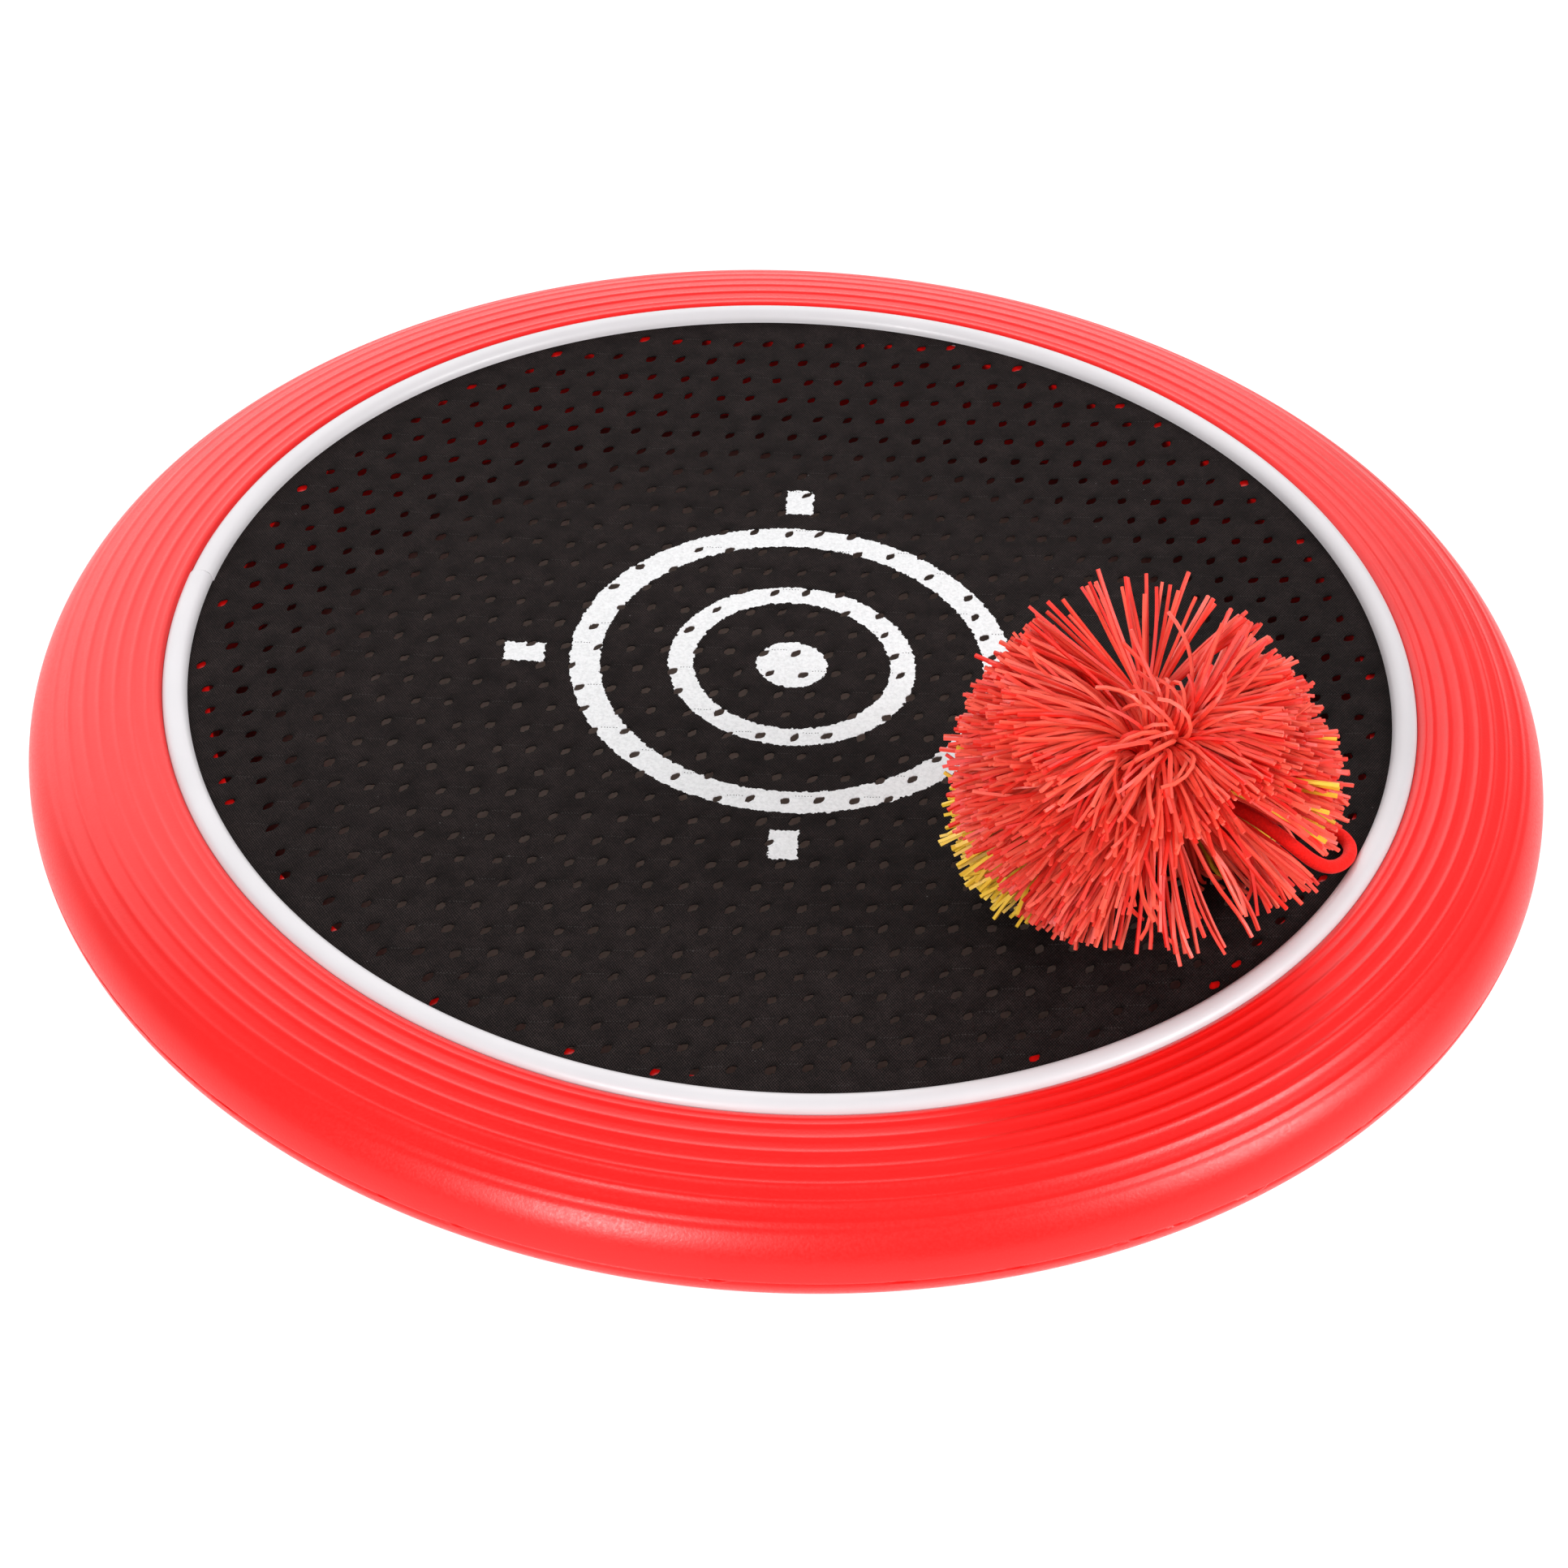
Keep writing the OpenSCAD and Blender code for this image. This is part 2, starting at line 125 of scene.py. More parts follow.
def new_object(name, verts, faces, smooth_angle=None):
    mesh = bpy.data.meshes.new(name)
    mesh.from_pydata([tuple(v) for v in verts], [], [tuple(f) for f in faces])
    mesh.update()
    obj = bpy.data.objects.new(name, mesh)
    scene.collection.objects.link(obj)
    if smooth_angle is not None:
        mesh.polygons.foreach_set("use_smooth", np.ones(len(mesh.polygons), bool))
        mesh.set_sharp_from_angle(angle=radians(smooth_angle))
    return obj


def point_values(mesh, name, values):
    """Stores a number for each point of the mesh, for its material."""
    attribute = mesh.attributes.new(name, "FLOAT", "POINT")
    attribute.data.foreach_set("value", np.asarray(values, np.float32))


class Nodes:
    """A material and its node tree, with short calls to add and link nodes."""

    def __init__(self, name):
        self.mat = bpy.data.materials.new(name)
        self.mat.use_nodes = True
        self.tree = self.mat.node_tree
        self.shader = self.tree.nodes["Principled BSDF"]

    def feed(self, socket, value):
        if isinstance(value, bpy.types.NodeSocket):
            self.tree.links.new(value, socket)
        else:
            socket.default_value = value

    def set(self, **values):
        for key, value in values.items():
            self.feed(self.shader.inputs[key.replace("_", " ")], value)

    def add(self, kind, inputs=None, **settings):
        node = self.tree.nodes.new(kind)
        for key, value in settings.items():
            setattr(node, key, value)
        for key, value in (inputs or {}).items():
            self.feed(node.inputs[key], value)
        return node

    def place(self):
        return self.add("ShaderNodeTexCoord").outputs["Object"]

    def value(self, name):
        return self.add("ShaderNodeAttribute", attribute_name=name).outputs["Fac"]

    def math(self, operation, a, b=0.0):
        return self.add("ShaderNodeMath", {0: a, 1: b}, operation=operation).outputs[0]

    def span_of(self, a, b):
        return self.add("ShaderNodeVectorMath", {0: a, 1: b}, operation="DISTANCE").outputs["Value"]

    def noise(self, vector, scale, detail=2.0, rough=0.5):
        inputs = {"Vector": vector, "Scale": scale, "Detail": detail, "Roughness": rough}
        return self.add("ShaderNodeTexNoise", inputs).outputs["Fac"]

    def cells(self, vector, scale):
        """Distance from the nearest of scattered spots."""
        return self.add("ShaderNodeTexVoronoi", {"Vector": vector, "Scale": scale}).outputs["Distance"]

    def ramp(self, factor, first, last, span=NOISE_SPAN):
        node = self.add("ShaderNodeValToRGB", {"Fac": factor})
        for element, place, colour in zip(node.color_ramp.elements, span, (first, last)):
            element.position = place
            element.color = (*colour, 1)
        return node.outputs["Color"]

    def range(self, value, result, span=NOISE_SPAN):
        inputs = {"Value": value, "From Min": span[0], "From Max": span[1]}
        inputs.update({"To Min": result[0], "To Max": result[1]})
        return self.add("ShaderNodeMapRange", inputs).outputs["Result"]

    def bump(self, height, strength, distance, normal=None):
        inputs = {"Height": height, "Strength": strength, "Distance": distance}
        if normal is not None:
            inputs["Normal"] = normal
        return self.add("ShaderNodeBump", inputs).outputs["Normal"]

    def mix(self, factor, a, b):
        """Colour a at factor 0, and b at 1. Sockets 6, 7 and 2 are the node's colours."""
        return self.add("ShaderNodeMix", {0: factor, 6: a, 7: b}, data_type="RGBA").outputs[2]


def dress(obj, material):
    obj.data.materials.clear()
    obj.data.materials.append(material)
    return obj


# Materials: their colours are linear

WHITE = (1, 1, 1, 1)
RUBBER_GLOW = (1.0, 0.35, 0.25)
# Painted shade in the knit's dimples round the holes
DIMPLE_SHADE_COLOUR = (0.002, 0.0015, 0.0015, 1)
LINT_COLOUR = (0.20, 0.19, 0.19, 1)
THREAD_COLOUR = (0.048, 0.042, 0.041, 1)


def rim_material():
    m = Nodes("rim_foam")
    p = m.place()
    grain = m.noise(p, scale=1900, rough=0.55)
    patches = m.noise(p, scale=38, detail=3.0)
    m.set(Base_Color=m.ramp(patches, (0.79, 0.0030, 0.0022), (0.87, 0.0052, 0.0040)))
    m.set(Roughness=m.range(grain, (0.29, 0.42)))
    broad = m.bump(m.noise(p, scale=200, detail=1.0), strength=0.05, distance=0.4 * MM)
    m.set(Normal=m.bump(grain, strength=0.23, distance=0.12 * MM, normal=broad))
    m.set(Specular_IOR_Level=0.48, Sheen_Weight=0.04, Sheen_Roughness=0.35)
    return m.mat


def hoop_material():
    m = Nodes("hoop_gloss")
    p = m.place()
    patches = m.noise(p, scale=60, detail=3.0)
    m.set(Base_Color=m.ramp(patches, (0.65, 0.625, 0.645), (0.69, 0.665, 0.685)))
    scuffs = m.noise(p, scale=900, detail=4.0, rough=0.7)
    m.set(Roughness=m.range(scuffs, (0.34, 0.48), span=(0.35, 0.75)))
    m.set(Normal=m.bump(m.noise(p, scale=130, detail=1.0), strength=0.06, distance=0.3 * MM))
    m.set(Coat_Weight=0.12, Coat_Roughness=0.22)
    return m.mat


def strand_material(name, dark, light):
    m = Nodes(name)
    p = m.place()
    dusty = m.noise(p, scale=420)
    mixed = m.math("ADD", m.math("MULTIPLY", m.value("tone"), 0.7), m.math("MULTIPLY", dusty, 0.3))
    m.set(Base_Color=m.ramp(mixed, dark, light, span=(0.1, 0.9)))
    m.set(Specular_IOR_Level=0.55, Roughness=m.range(dusty, (0.40, 0.56)))
    m.set(Normal=m.bump(m.noise(p, scale=2600), strength=0.18, distance=0.08 * MM))
    m.set(Subsurface_Weight=0.06, Subsurface_Scale=0.8 * MM, Subsurface_Radius=RUBBER_GLOW)
    return m.mat


def elastic_material():
    m = Nodes("elastic_braid")
    p = m.place()
    weave = m.cells(p, scale=2300)
    m.set(Base_Color=m.ramp(weave, (1.0, 0.011, 0.005), (0.80, 0.006, 0.003), span=(0.0, 0.8)))
    m.set(Roughness=m.range(m.noise(p, scale=1200), (0.7, 0.9)))
    m.set(Normal=m.bump(weave, strength=0.35, distance=-0.12 * MM))
    m.set(Sheen_Weight=0.06, Sheen_Roughness=0.4, Specular_IOR_Level=0.2)
    return m.mat


def pin_material():
    m = Nodes("pin_steel")
    p = m.place()
    patches = m.noise(p, scale=900, detail=3.0)
    m.set(Base_Color=m.ramp(patches, (0.5, 0.5, 0.5), (0.66, 0.66, 0.65)))
    m.set(Metallic=1.0, Roughness=m.range(m.noise(p, scale=2400), (0.25, 0.4)))
    return m.mat


# The printed mark: a plain aiming target of rings, by radius and width, and four ticks
PRINT_RINGS = ((41 * MM, 6.0 * MM), (22 * MM, 5.0 * MM), (0.0, 14.0 * MM))
PRINT_RAGGED = 0.35 * MM
TICK_REACH = (49 * MM, 57 * MM)
TICK_W = 5.5 * MM
# Pitch of the knit's stitches, and how far they wander
STITCH_COLUMN = 0.54 * MM
STITCH_ROW = 0.80 * MM
STITCH_WOBBLE = 0.5 * MM


def knit_relief(m, p, x, y):
    """Crossing waves for the rows and columns of stitches, from 0 to 1."""
    wobble = m.math("MULTIPLY", m.noise(p, scale=420), STITCH_WOBBLE)
    waves = []
    for place, pitch in ((x, STITCH_COLUMN), (y, STITCH_ROW)):
        shifted = m.math("ADD", place, wobble)
        waves.append(m.math("SINE", m.math("MULTIPLY", shifted, 2 * pi / pitch)))
    return m.range(m.math("MULTIPLY", waves[0], waves[1]), (0.0, 1.0), span=(-1.0, 1.0))


def knit_colour(m, p, knit, fuzz):
    """Black yarn with painted shade in the dimples where it draws in at the holes, and a few pale bits of
    lint.
    """
    yarn = m.math("MULTIPLY", knit, m.range(fuzz, (0.45, 1.0)))
    mottled = m.range(m.noise(p, scale=190, detail=3.0, rough=0.6), (0.72, 1.22))
    yarn = m.math("MULTIPLY", yarn, mottled)
    black = m.ramp(yarn, (0.0, 0.0, 0.0), (0.0400, 0.0290, 0.0282), span=(0.05, 0.9))
    # Painted shade in the dimples round the holes: darker the deeper a point sinks
    black = m.mix(m.range(m.value("dimple_shade"), (0.0, 0.6), span=(0.1, 0.9)), black, DIMPLE_SHADE_COLOUR)
    lint = m.range(m.cells(p, scale=330), (1.0, 0.0), span=(0.035, 0.055))
    few = m.range(m.noise(p, scale=60, detail=1.0), (0.0, 0.5), span=(0.58, 0.68))
    return m.mix(m.math("MULTIPLY", lint, few), black, LINT_COLOUR)


def print_mask(m, p, x, y):
    """1 where the ink lies, ragged at its edges as screen print on knit is."""
    ragged = m.noise(p, scale=900, detail=3.0, rough=0.6)
    ragged = m.range(ragged, (-PRINT_RAGGED, PRINT_RAGGED))
    radius = m.math("SQRT", m.math("ADD", m.math("MULTIPLY", x, x), m.math("MULTIPLY", y, y)))
    edge = m.math("ADD", radius, ragged)
    masks = []
    for middle, width in PRINT_RINGS:
        off = m.math("ABSOLUTE", m.math("SUBTRACT", edge, middle))
        masks.append(m.math("LESS_THAN", off, width / 2))
    near, far = TICK_REACH
    for along, across in ((x, y), (y, x)):
        out = m.math("ABSOLUTE", m.math("ADD", along, ragged))
        side = m.math("ABSOLUTE", m.math("ADD", across, ragged))
        between = m.math("MULTIPLY", m.math("GREATER_THAN", out, near), m.math("LESS_THAN", out, far))
        masks.append(m.math("MULTIPLY", between, m.math("LESS_THAN", side, TICK_W / 2)))
    ink = masks[0]
    for mask in masks[1:]:
        ink = m.math("MAXIMUM", ink, mask)
    return ink


def mesh_material():
    m = Nodes("mesh_knit")
    p = m.place()
    split = m.add("ShaderNodeSeparateXYZ", {0: p})
    x = split.outputs["X"]
    y = split.outputs["Y"]
    knit = knit_relief(m, p, x, y)
    fuzz = m.noise(p, scale=1700, detail=3.0, rough=0.6)
    white = m.ramp(fuzz, (0.66, 0.66, 0.67), (0.82, 0.82, 0.83), span=(0.25, 0.6))
    printed = m.mix(print_mask(m, p, x, y), knit_colour(m, p, knit, fuzz), white)
    m.set(Base_Color=m.mix(m.value("thread"), printed, THREAD_COLOUR))
    m.set(Specular_IOR_Level=0.04, Roughness=m.range(fuzz, (0.62, 0.85)))
    relief = m.math("ADD", m.math("MULTIPLY", knit, 0.6), fuzz)
    m.set(Normal=m.bump(relief, strength=0.55, distance=0.12 * MM))
    return m.mat


RIM_MAT = rim_material()
HOOP_MAT = hoop_material()
MESH_MAT = mesh_material()
CORAL_MAT = strand_material("strand_coral", dark=(0.80, 0.006, 0.002), light=(0.93, 0.122, 0.070))
YELLOW_MAT = strand_material("strand_yellow", dark=(0.72, 0.40, 0.014), light=(0.92, 0.60, 0.045))
ELASTIC_MAT = elastic_material()
PIN_MAT = pin_material()


# Camera: it looks along +Y and down by its pitch, and is rolled about that line

SENSOR = 36.0
FOCAL_PIXELS = 4700.0
IMAGE_PIXELS = 1932.0
CLIP_START = 50 * MM
CAMERA_PLACE = Vector((-0.39, -582.46, 503.07)) * MM
PITCH = radians(41.35)
ROLL = radians(2.89)
LOOK = Vector((0, cos(PITCH), -sin(PITCH)))
CAMERA_RIGHT = Vector((cos(ROLL), sin(ROLL) * sin(PITCH), sin(ROLL) * cos(PITCH)))
CAMERA_UP = Vector((-sin(ROLL), cos(ROLL) * sin(PITCH), cos(ROLL) * cos(PITCH)))

camera = bpy.data.objects.new("camera", bpy.data.cameras.new("camera"))
scene.collection.objects.link(camera)
camera.data.sensor_width = SENSOR
camera.data.lens = SENSOR * FOCAL_PIXELS / IMAGE_PIXELS
camera.data.clip_start = CLIP_START
camera_turn = Matrix((CAMERA_RIGHT, CAMERA_UP, -LOOK)).transposed()
camera.matrix_world = Matrix.Translation(CAMERA_PLACE) @ camera_turn.to_4x4()
scene.camera = camera
scene.view_settings.view_transform = "Standard"


# Light: three softboxes in an evenly lit room

ROOM_LIGHT = 0.43


def softbox(name, place, aim, width, height, power):
    light = bpy.data.lights.new(name, "AREA")
    light.shape = "RECTANGLE"
    light.size = width
    light.size_y = height
    light.energy = power
    obj = bpy.data.objects.new(name, light)
    obj.location = place
    obj.rotation_euler = (Vector(aim) - Vector(place)).to_track_quat("-Z", "Y").to_euler()
    scene.collection.objects.link(obj)


softbox("light_back", (-0.57, 1.31, 0.80), aim=(0, 0, 0.1), width=3.0, height=1.6, power=26.0)
softbox("light_front_left", (-0.41, -1.05, 0.66), aim=(0, 0, 0), width=0.26, height=0.5, power=9.0)
softbox("light_right", (0.96, -0.40, 0.62), aim=(0, 0, 0), width=0.42, height=0.42, power=8.0)

world = bpy.data.worlds.new("studio")
scene.world = world
world.use_nodes = True
room = world.node_tree.nodes["Background"]
room.inputs["Color"].default_value = WHITE
room.inputs["Strength"].default_value = ROOM_LIGHT


# Floor: a light table outside the disc, and inside it painted dim, warm light with a painted red bounce

FLOOR_HALF = 4.0
FLOOR_COLOUR = (0.12, 0.12, 0.12, 1)
FLOOR_GLOW = 1.0
GLOW_REACH = (FOOT_R + 3 * MM, FOOT_R + 9 * MM)
# What shows through the mesh is painted light: a warm pool, brightest here, and a painted red bounce near
# the bore from the red rim's light
PAINTED_POOL_MIDDLE = (-60 * MM, 10 * MM, 0)
PAINTED_POOL_REACH = (30 * MM, 110 * MM)
PAINTED_BOUNCE_REACH = (90 * MM, 106 * MM)
PAINTED_BOUNCE_COLOUR = (0.25, 0.035, 0.030, 1)


def floor_material():
    m = Nodes("floor_paint")
    p = m.place()
    out = m.span_of(p, (0, 0, 0))
    # Painted light: a dim, warm pool on the floor under the mesh, brightest at its middle
    painted_pool_share = m.range(m.span_of(p, PAINTED_POOL_MIDDLE), (0.0, 1.0), span=PAINTED_POOL_REACH)
    painted_floor_light = m.ramp(painted_pool_share, (0.72, 0.55, 0.48), (0.49, 0.35, 0.30), span=(0.0, 1.0))
    # Painted red bounce light from the rim, near the bore
    painted_floor_light = m.mix(m.range(out, (0.0, 1.0), span=PAINTED_BOUNCE_REACH), painted_floor_light, PAINTED_BOUNCE_COLOUR)
    # The painted light fills the floor inside the disc and fades out under the foot
    inside = m.range(out, (1.0, 0.0), span=(BORE_R, FOOT_R))
    m.set(Base_Color=m.mix(inside, FLOOR_COLOUR, painted_floor_light))
    m.set(Emission_Strength=m.range(out, (0.0, FLOOR_GLOW), span=GLOW_REACH))
    m.set(Emission_Color=WHITE, Roughness=0.9, Specular_IOR_Level=0.1)
    return m.mat


floor_corners = [(x * FLOOR_HALF, y * FLOOR_HALF, 0) for x, y in ((-1, -1), (1, -1), (1, 1), (-1, 1))]
floor = dress(new_object("floor", floor_corners, [(0, 1, 2, 3)]), floor_material())


# The finger loop, on the source's route: shares of the way to its tip, cord widths aside, shares of the rise

LOOP_ROUTE = (
    (0, -0.61, 1), (0.108, -0.65, 0.897), (0.244, -1, 0.742), (0.379, -1.35, 0.562),
    (0.515, -1.7, 0.361), (0.637, -1.92, 0.186), (0.749, -1.88, 0.067), (0.852, -1.57, 0.01),
    (0.946, -0.97, 0), (1, 0, 0), (0.995, 1.17, 0), (0.927, 2.14, 0.01), (0.814, 2.52, 0.062),
    (0.688, 2.38, 0.165), (0.546, 1.98, 0.32), (0.392, 1.47, 0.515), (0.245, 0.92, 0.722),
    (0.111, 0.57, 0.897), (0, 0.61, 1),
)
LOOP_ROOT_WAY = Vector((0.78, 0.294, -0.552)).normalized()
# The front leg lies on the strands, nearer to the camera than the solid's and in line with it
LOOP_FRONT = 9
LOOP_LIFT = 5.0 * MM
LOOP_STEPS = 5
CORD_ROUNDING = 6


def loop_points():
    root = BALL + LOOP_ROOT_WAY * (ROOT_R + KNOT_GAP + KNOT_L)
    rest_z = MESH_Z + RUN_GAP + CORD_D / 2
    tip_r = HOOP_IN - TIP_GAP - CORD_D / 2
    foot = Vector((root.x, root.y, rest_z))
    way = Vector((tip_r * cos(TIP_ANGLE), tip_r * sin(TIP_ANGLE), rest_z)) - foot
    aside = Vector((0, 0, 1)).cross(way).normalized() * CORD_D
    rise = Vector((0, 0, root.z - rest_z))
    points = [foot + u * way + v * aside + h * rise for u, v, h in LOOP_ROUTE]
    lift = (CAMERA_PLACE - BALL).normalized() * LOOP_LIFT
    for k in range(LOOP_FRONT):
        points[k] += lift * sin(pi * k / LOOP_FRONT)
    return points


def smooth_line(points, steps):
    """Points of a Catmull-Rom curve through the given ones."""
    p = [2 * points[0] - points[1]] + points + [2 * points[-1] - points[-2]]
    line = []
    for a, b, c, d in zip(p, p[1:], p[2:], p[3:]):
        for s in range(steps):
            t = s / steps
            square = (2 * a - 5 * b + 4 * c - d) * t * t
            cube = (3 * b - a - 3 * c + d) * t ** 3
            line.append(0.5 * (2 * b + (c - a) * t + square + cube))
    line.append(points[-1])
    return line


loop_line = smooth_line(loop_points(), LOOP_STEPS)
loop_curve = bpy.data.curves.new("finger_loop_elastic", "CURVE")
loop_curve.dimensions = "3D"
loop_curve.bevel_depth = CORD_D / 2
loop_curve.bevel_resolution = CORD_ROUNDING
loop_curve.use_fill_caps = True
spline = loop_curve.splines.new("POLY")
spline.points.add(len(loop_line) - 1)
for point, place in zip(spline.points, loop_line):
    point.co = (*place, 1)
spline.use_smooth = True
loop_obj = bpy.data.objects.new("finger_loop_elastic", loop_curve)
scene.collection.objects.link(loop_obj)
dress(loop_obj, ELASTIC_MAT)
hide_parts("finger_loop")
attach(loop_obj, "ball")


# The rim: two lathed shells with ribs, a soft bulge and a nicked parting line. The upper profile runs
# over the lip, the ribs and the bulge, and back inside.

RIM_STEPS = 960
LIP_STEPS = 6
FIRST_BAND_STEPS = 8
BAND_STEPS = 14
BULGE_STEPS = 22
INSIDE_STEPS = 8
RIB_H = 0.30 * MM
# A rib's width in pitches, how much shallower the band inside the first is, and the bulge's notch in ribs
RIB_SHARE = 0.18
SHALLOWER = 3
NOTCH_SHARE = 0.6
NOTCH_STEPS = 3
SEAM_DIP = 0.22 * MM
SEAM_BAND = 0.3 * MM
# Nicks in the parting line: widths in turns, and depths in shares of the deepest
NICKS = 70
NICK_DEPTH = 0.55 * MM
NICK_WIDTHS = (0.0010, 0.0028)
NICK_SHARES = (0.3, 1)


def quarter_height(x):
    return (1 - min(max(x, 0.0), 1.0) ** ROUNDNESS) ** (1 / ROUNDNESS)


def quarter_point(t):
    """Shares across and up on the rim's rounded quarter, from its top to its side."""
    return sin(t) ** (2 / ROUNDNESS), max(cos(t), 0.0) ** (2 / ROUNDNESS)


def top_z(r):
    return SEAM_Z + (CREST_Z - SEAM_Z) * quarter_height((r - CREST_R) / (RIM_R - CREST_R))


def rib_drop(s):
    """Depth below the ribs' tops, at share s of the way from one rib to the next."""
    return RIB_H * (1 - exp(-(min(s, 1 - s) / RIB_SHARE) ** 2))


def rim_lip():
    points = [
        (BORE_R, SEAM_Z), (BORE_R, MESH_BASE), (HOOP_IN - FIT_GAP, MESH_BASE), (HOOP_IN - FIT_GAP, SEAT_Z),
        (LIP_IN_R, SEAT_Z), (LIP_IN_R, CREST_Z - LIP_SLOPE_H),
    ]
    for k in range(1, LIP_STEPS + 1):
        t = k / LIP_STEPS
        drop = LIP_SLOPE_H * (1 - sin(t * pi / 2))
        points.append((LIP_IN_R + (CREST_R - LIP_IN_R) * t, CREST_Z - drop))
    return points


def rim_bands():
    points = []
    for k in range(1, FIRST_BAND_STEPS):
        t = k / FIRST_BAND_STEPS
        r = CREST_R + (FIRST_RIB_R - CREST_R) * t
        points.append((r, top_z(r) - rib_drop(t) / SHALLOWER))
    for rib in range(RIBS - 1):
        for k in range(BAND_STEPS):
            s = k / BAND_STEPS
            r = FIRST_RIB_R + (rib + s) * RIB_PITCH
            points.append((r, top_z(r) - rib_drop(s)))
    return points


def rim_bulge():
    points = []
    start = asin(((LAST_RIB_R - CREST_R) / (RIM_R - CREST_R)) ** (ROUNDNESS / 2))
    for k in range(BULGE_STEPS):
        across, up = quarter_point(start + (pi / 2 - start) * k / BULGE_STEPS)
        notch = NOTCH_SHARE * RIB_H * sin(pi * min(k, NOTCH_STEPS) / NOTCH_STEPS)
        points.append((CREST_R + (RIM_R - CREST_R) * across, SEAM_Z + (CREST_Z - SEAM_Z) * up - notch))
    return points + [(RIM_R, SEAM_Z + SEAM_BAND), (RIM_R, SEAM_Z)]


def rim_inside():
    points = []
    for k in range(INSIDE_STEPS, 0, -1):
        across, up = quarter_point(pi / 2 * k / INSIDE_STEPS)
        r = CREST_R + (RIM_R - WALL - CREST_R) * across
        points.append((r, SEAM_Z + (CREST_Z - WALL - SEAM_Z) * up))
    skin_r = LIP_R + WALL
    skin_share = (skin_r - CREST_R) / (RIM_R - WALL - CREST_R)
    skin_z = SEAM_Z + (CREST_Z - WALL - SEAM_Z) * quarter_height(skin_share)
    points += [(skin_r, skin_z), (skin_r, SEAT_Z - WALL)]
    return points + [(BORE_R + WALL, SEAT_Z - WALL), (BORE_R + WALL, SEAM_Z)]


def rim_lower_profile():
    tongue_out = RIM_R - WALL - TONGUE_GAP
    tongue_in = tongue_out - TONGUE_T
    tongue_top = SEAM_Z + TONGUE_H
    floor_r = FOOT_R - WALL
    hollow_top = SEAM_Z - WALL / 2
    outer = []
    for k in range(1, BULGE_STEPS):
        across, up = quarter_point(pi / 2 * k / BULGE_STEPS)
        outer.append((FOOT_R + (RIM_R - FOOT_R) * across, SEAM_Z * (1 - up)))
    outer += [(RIM_R, SEAM_Z - SEAM_BAND), (RIM_R, SEAM_Z)]
    inner = []
    for k in range(INSIDE_STEPS, -1, -1):
        across, up = quarter_point(pi / 2 * k / INSIDE_STEPS)
        inner.append((floor_r + (tongue_in - floor_r) * across, hollow_top - (hollow_top - WALL) * up))
    tongue = [(tongue_out, SEAM_Z), (tongue_out, tongue_top), (tongue_in, tongue_top)]
    end = [(BORE_R + WALL, WALL), (BORE_R + WALL, SEAM_Z), (BORE_R, SEAM_Z)]
    return [(BORE_R, 0.0), (FOOT_R, 0.0)] + outer + tongue + inner + end


def nick_pattern():
    """Depth of the nicks in the parting line, all round."""
    depth = np.zeros(RIM_STEPS)
    turn = np.arange(RIM_STEPS) / RIM_STEPS
    places = rng.random(NICKS)
    widths = rng.uniform(*NICK_WIDTHS, NICKS)
    shares = rng.uniform(*NICK_SHARES, NICKS)
    for place, width, share in zip(places, widths, shares):
        off = (turn - place + 0.5) % 1 - 0.5
        depth = np.maximum(depth, share * np.clip(1 - (off / width) ** 2, 0, 1))
    return depth


def seam_ripple(profile, nicks):
    """Radius added at each step round and profile point: the seam dips in, more at its nicks."""
    ripple = np.zeros((RIM_STEPS, len(profile)))
    for k, (r, z) in enumerate(profile):
        near = max(0.0, 1 - abs(z - SEAM_Z) / SEAM_BAND)
        if r > RIM_R - MM and near > 0:
            ripple[:, k] = -near * (SEAM_DIP + NICK_DEPTH * nicks)
    return ripple


def ring_faces(rings, n, closed):
    """Quads from each ring of n points to the next, and from the last to the first if closed."""
    faces = []
    for i in range(rings if closed else rings - 1):
        j = (i + 1) % rings
        for k in range(n):
            m = (k + 1) % n
            faces.append((i * n + k, j * n + k, j * n + m, i * n + m))
    return faces


def lathe(name, profile, ripple):
    """A closed profile of (radius, height) turned all round, with the ripple added to its radii."""
    steps, n = ripple.shape
    angles = 2 * np.pi * np.arange(steps) / steps
    radius = np.array([r for r, z in profile])[None, :].repeat(steps, 0) + ripple
    verts = np.zeros((steps, n, 3))
    verts[..., 0] = radius * np.cos(angles)[:, None]
    verts[..., 1] = radius * np.sin(angles)[:, None]
    verts[..., 2] = np.array([z for r, z in profile])[None, :]
    return new_object(name, verts.reshape(-1, 3), ring_faces(steps, n, closed=True), SMOOTH_ANGLE)


rim_nicks = nick_pattern()
upper_profile = rim_lip() + rim_bands() + rim_bulge() + rim_inside()
lower_profile = rim_lower_profile()
for name, profile, node in (
    ("rim_top_skin", upper_profile, "rim_upper_shell"), ("rim_base_skin", lower_profile, "rim_lower_shell"),
):
    obj = lathe(name, profile, seam_ripple(profile, rim_nicks))
    dress(obj, RIM_MAT)
    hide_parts(node)
    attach(obj, "disc")


# The clamp hoop: one bar bent round, with a small step at its butt joint

HOOP_STEPS = 540
HOOP_DOME_STEPS = 18
HOOP_ROUNDNESS = 2.3
HOOP_MID = (HOOP_IN + HOOP_EDGE) / 2
HOOP_HALF = (HOOP_EDGE - HOOP_IN) / 2
# How far each end stands out of line, and the length over which it comes back
BUTT_STEP = 0.12 * MM
BUTT_EASE = 8.0 * MM


def hoop_profile():
    """A dome on the mesh, from the hoop's outer edge to its inner one."""
    points = [(HOOP_EDGE, MESH_Z)]
    for k in range(1, HOOP_DOME_STEPS):
        t = pi * k / HOOP_DOME_STEPS
        wide = copysign(abs(cos(t)) ** (2 / HOOP_ROUNDNESS), cos(t))
        rise = sin(t) ** (2 / HOOP_ROUNDNESS)
        points.append((HOOP_MID + HOOP_HALF * wide, MESH_Z + (HOOP_TOP - MESH_Z) * rise))
    return points + [(HOOP_IN, MESH_Z)]


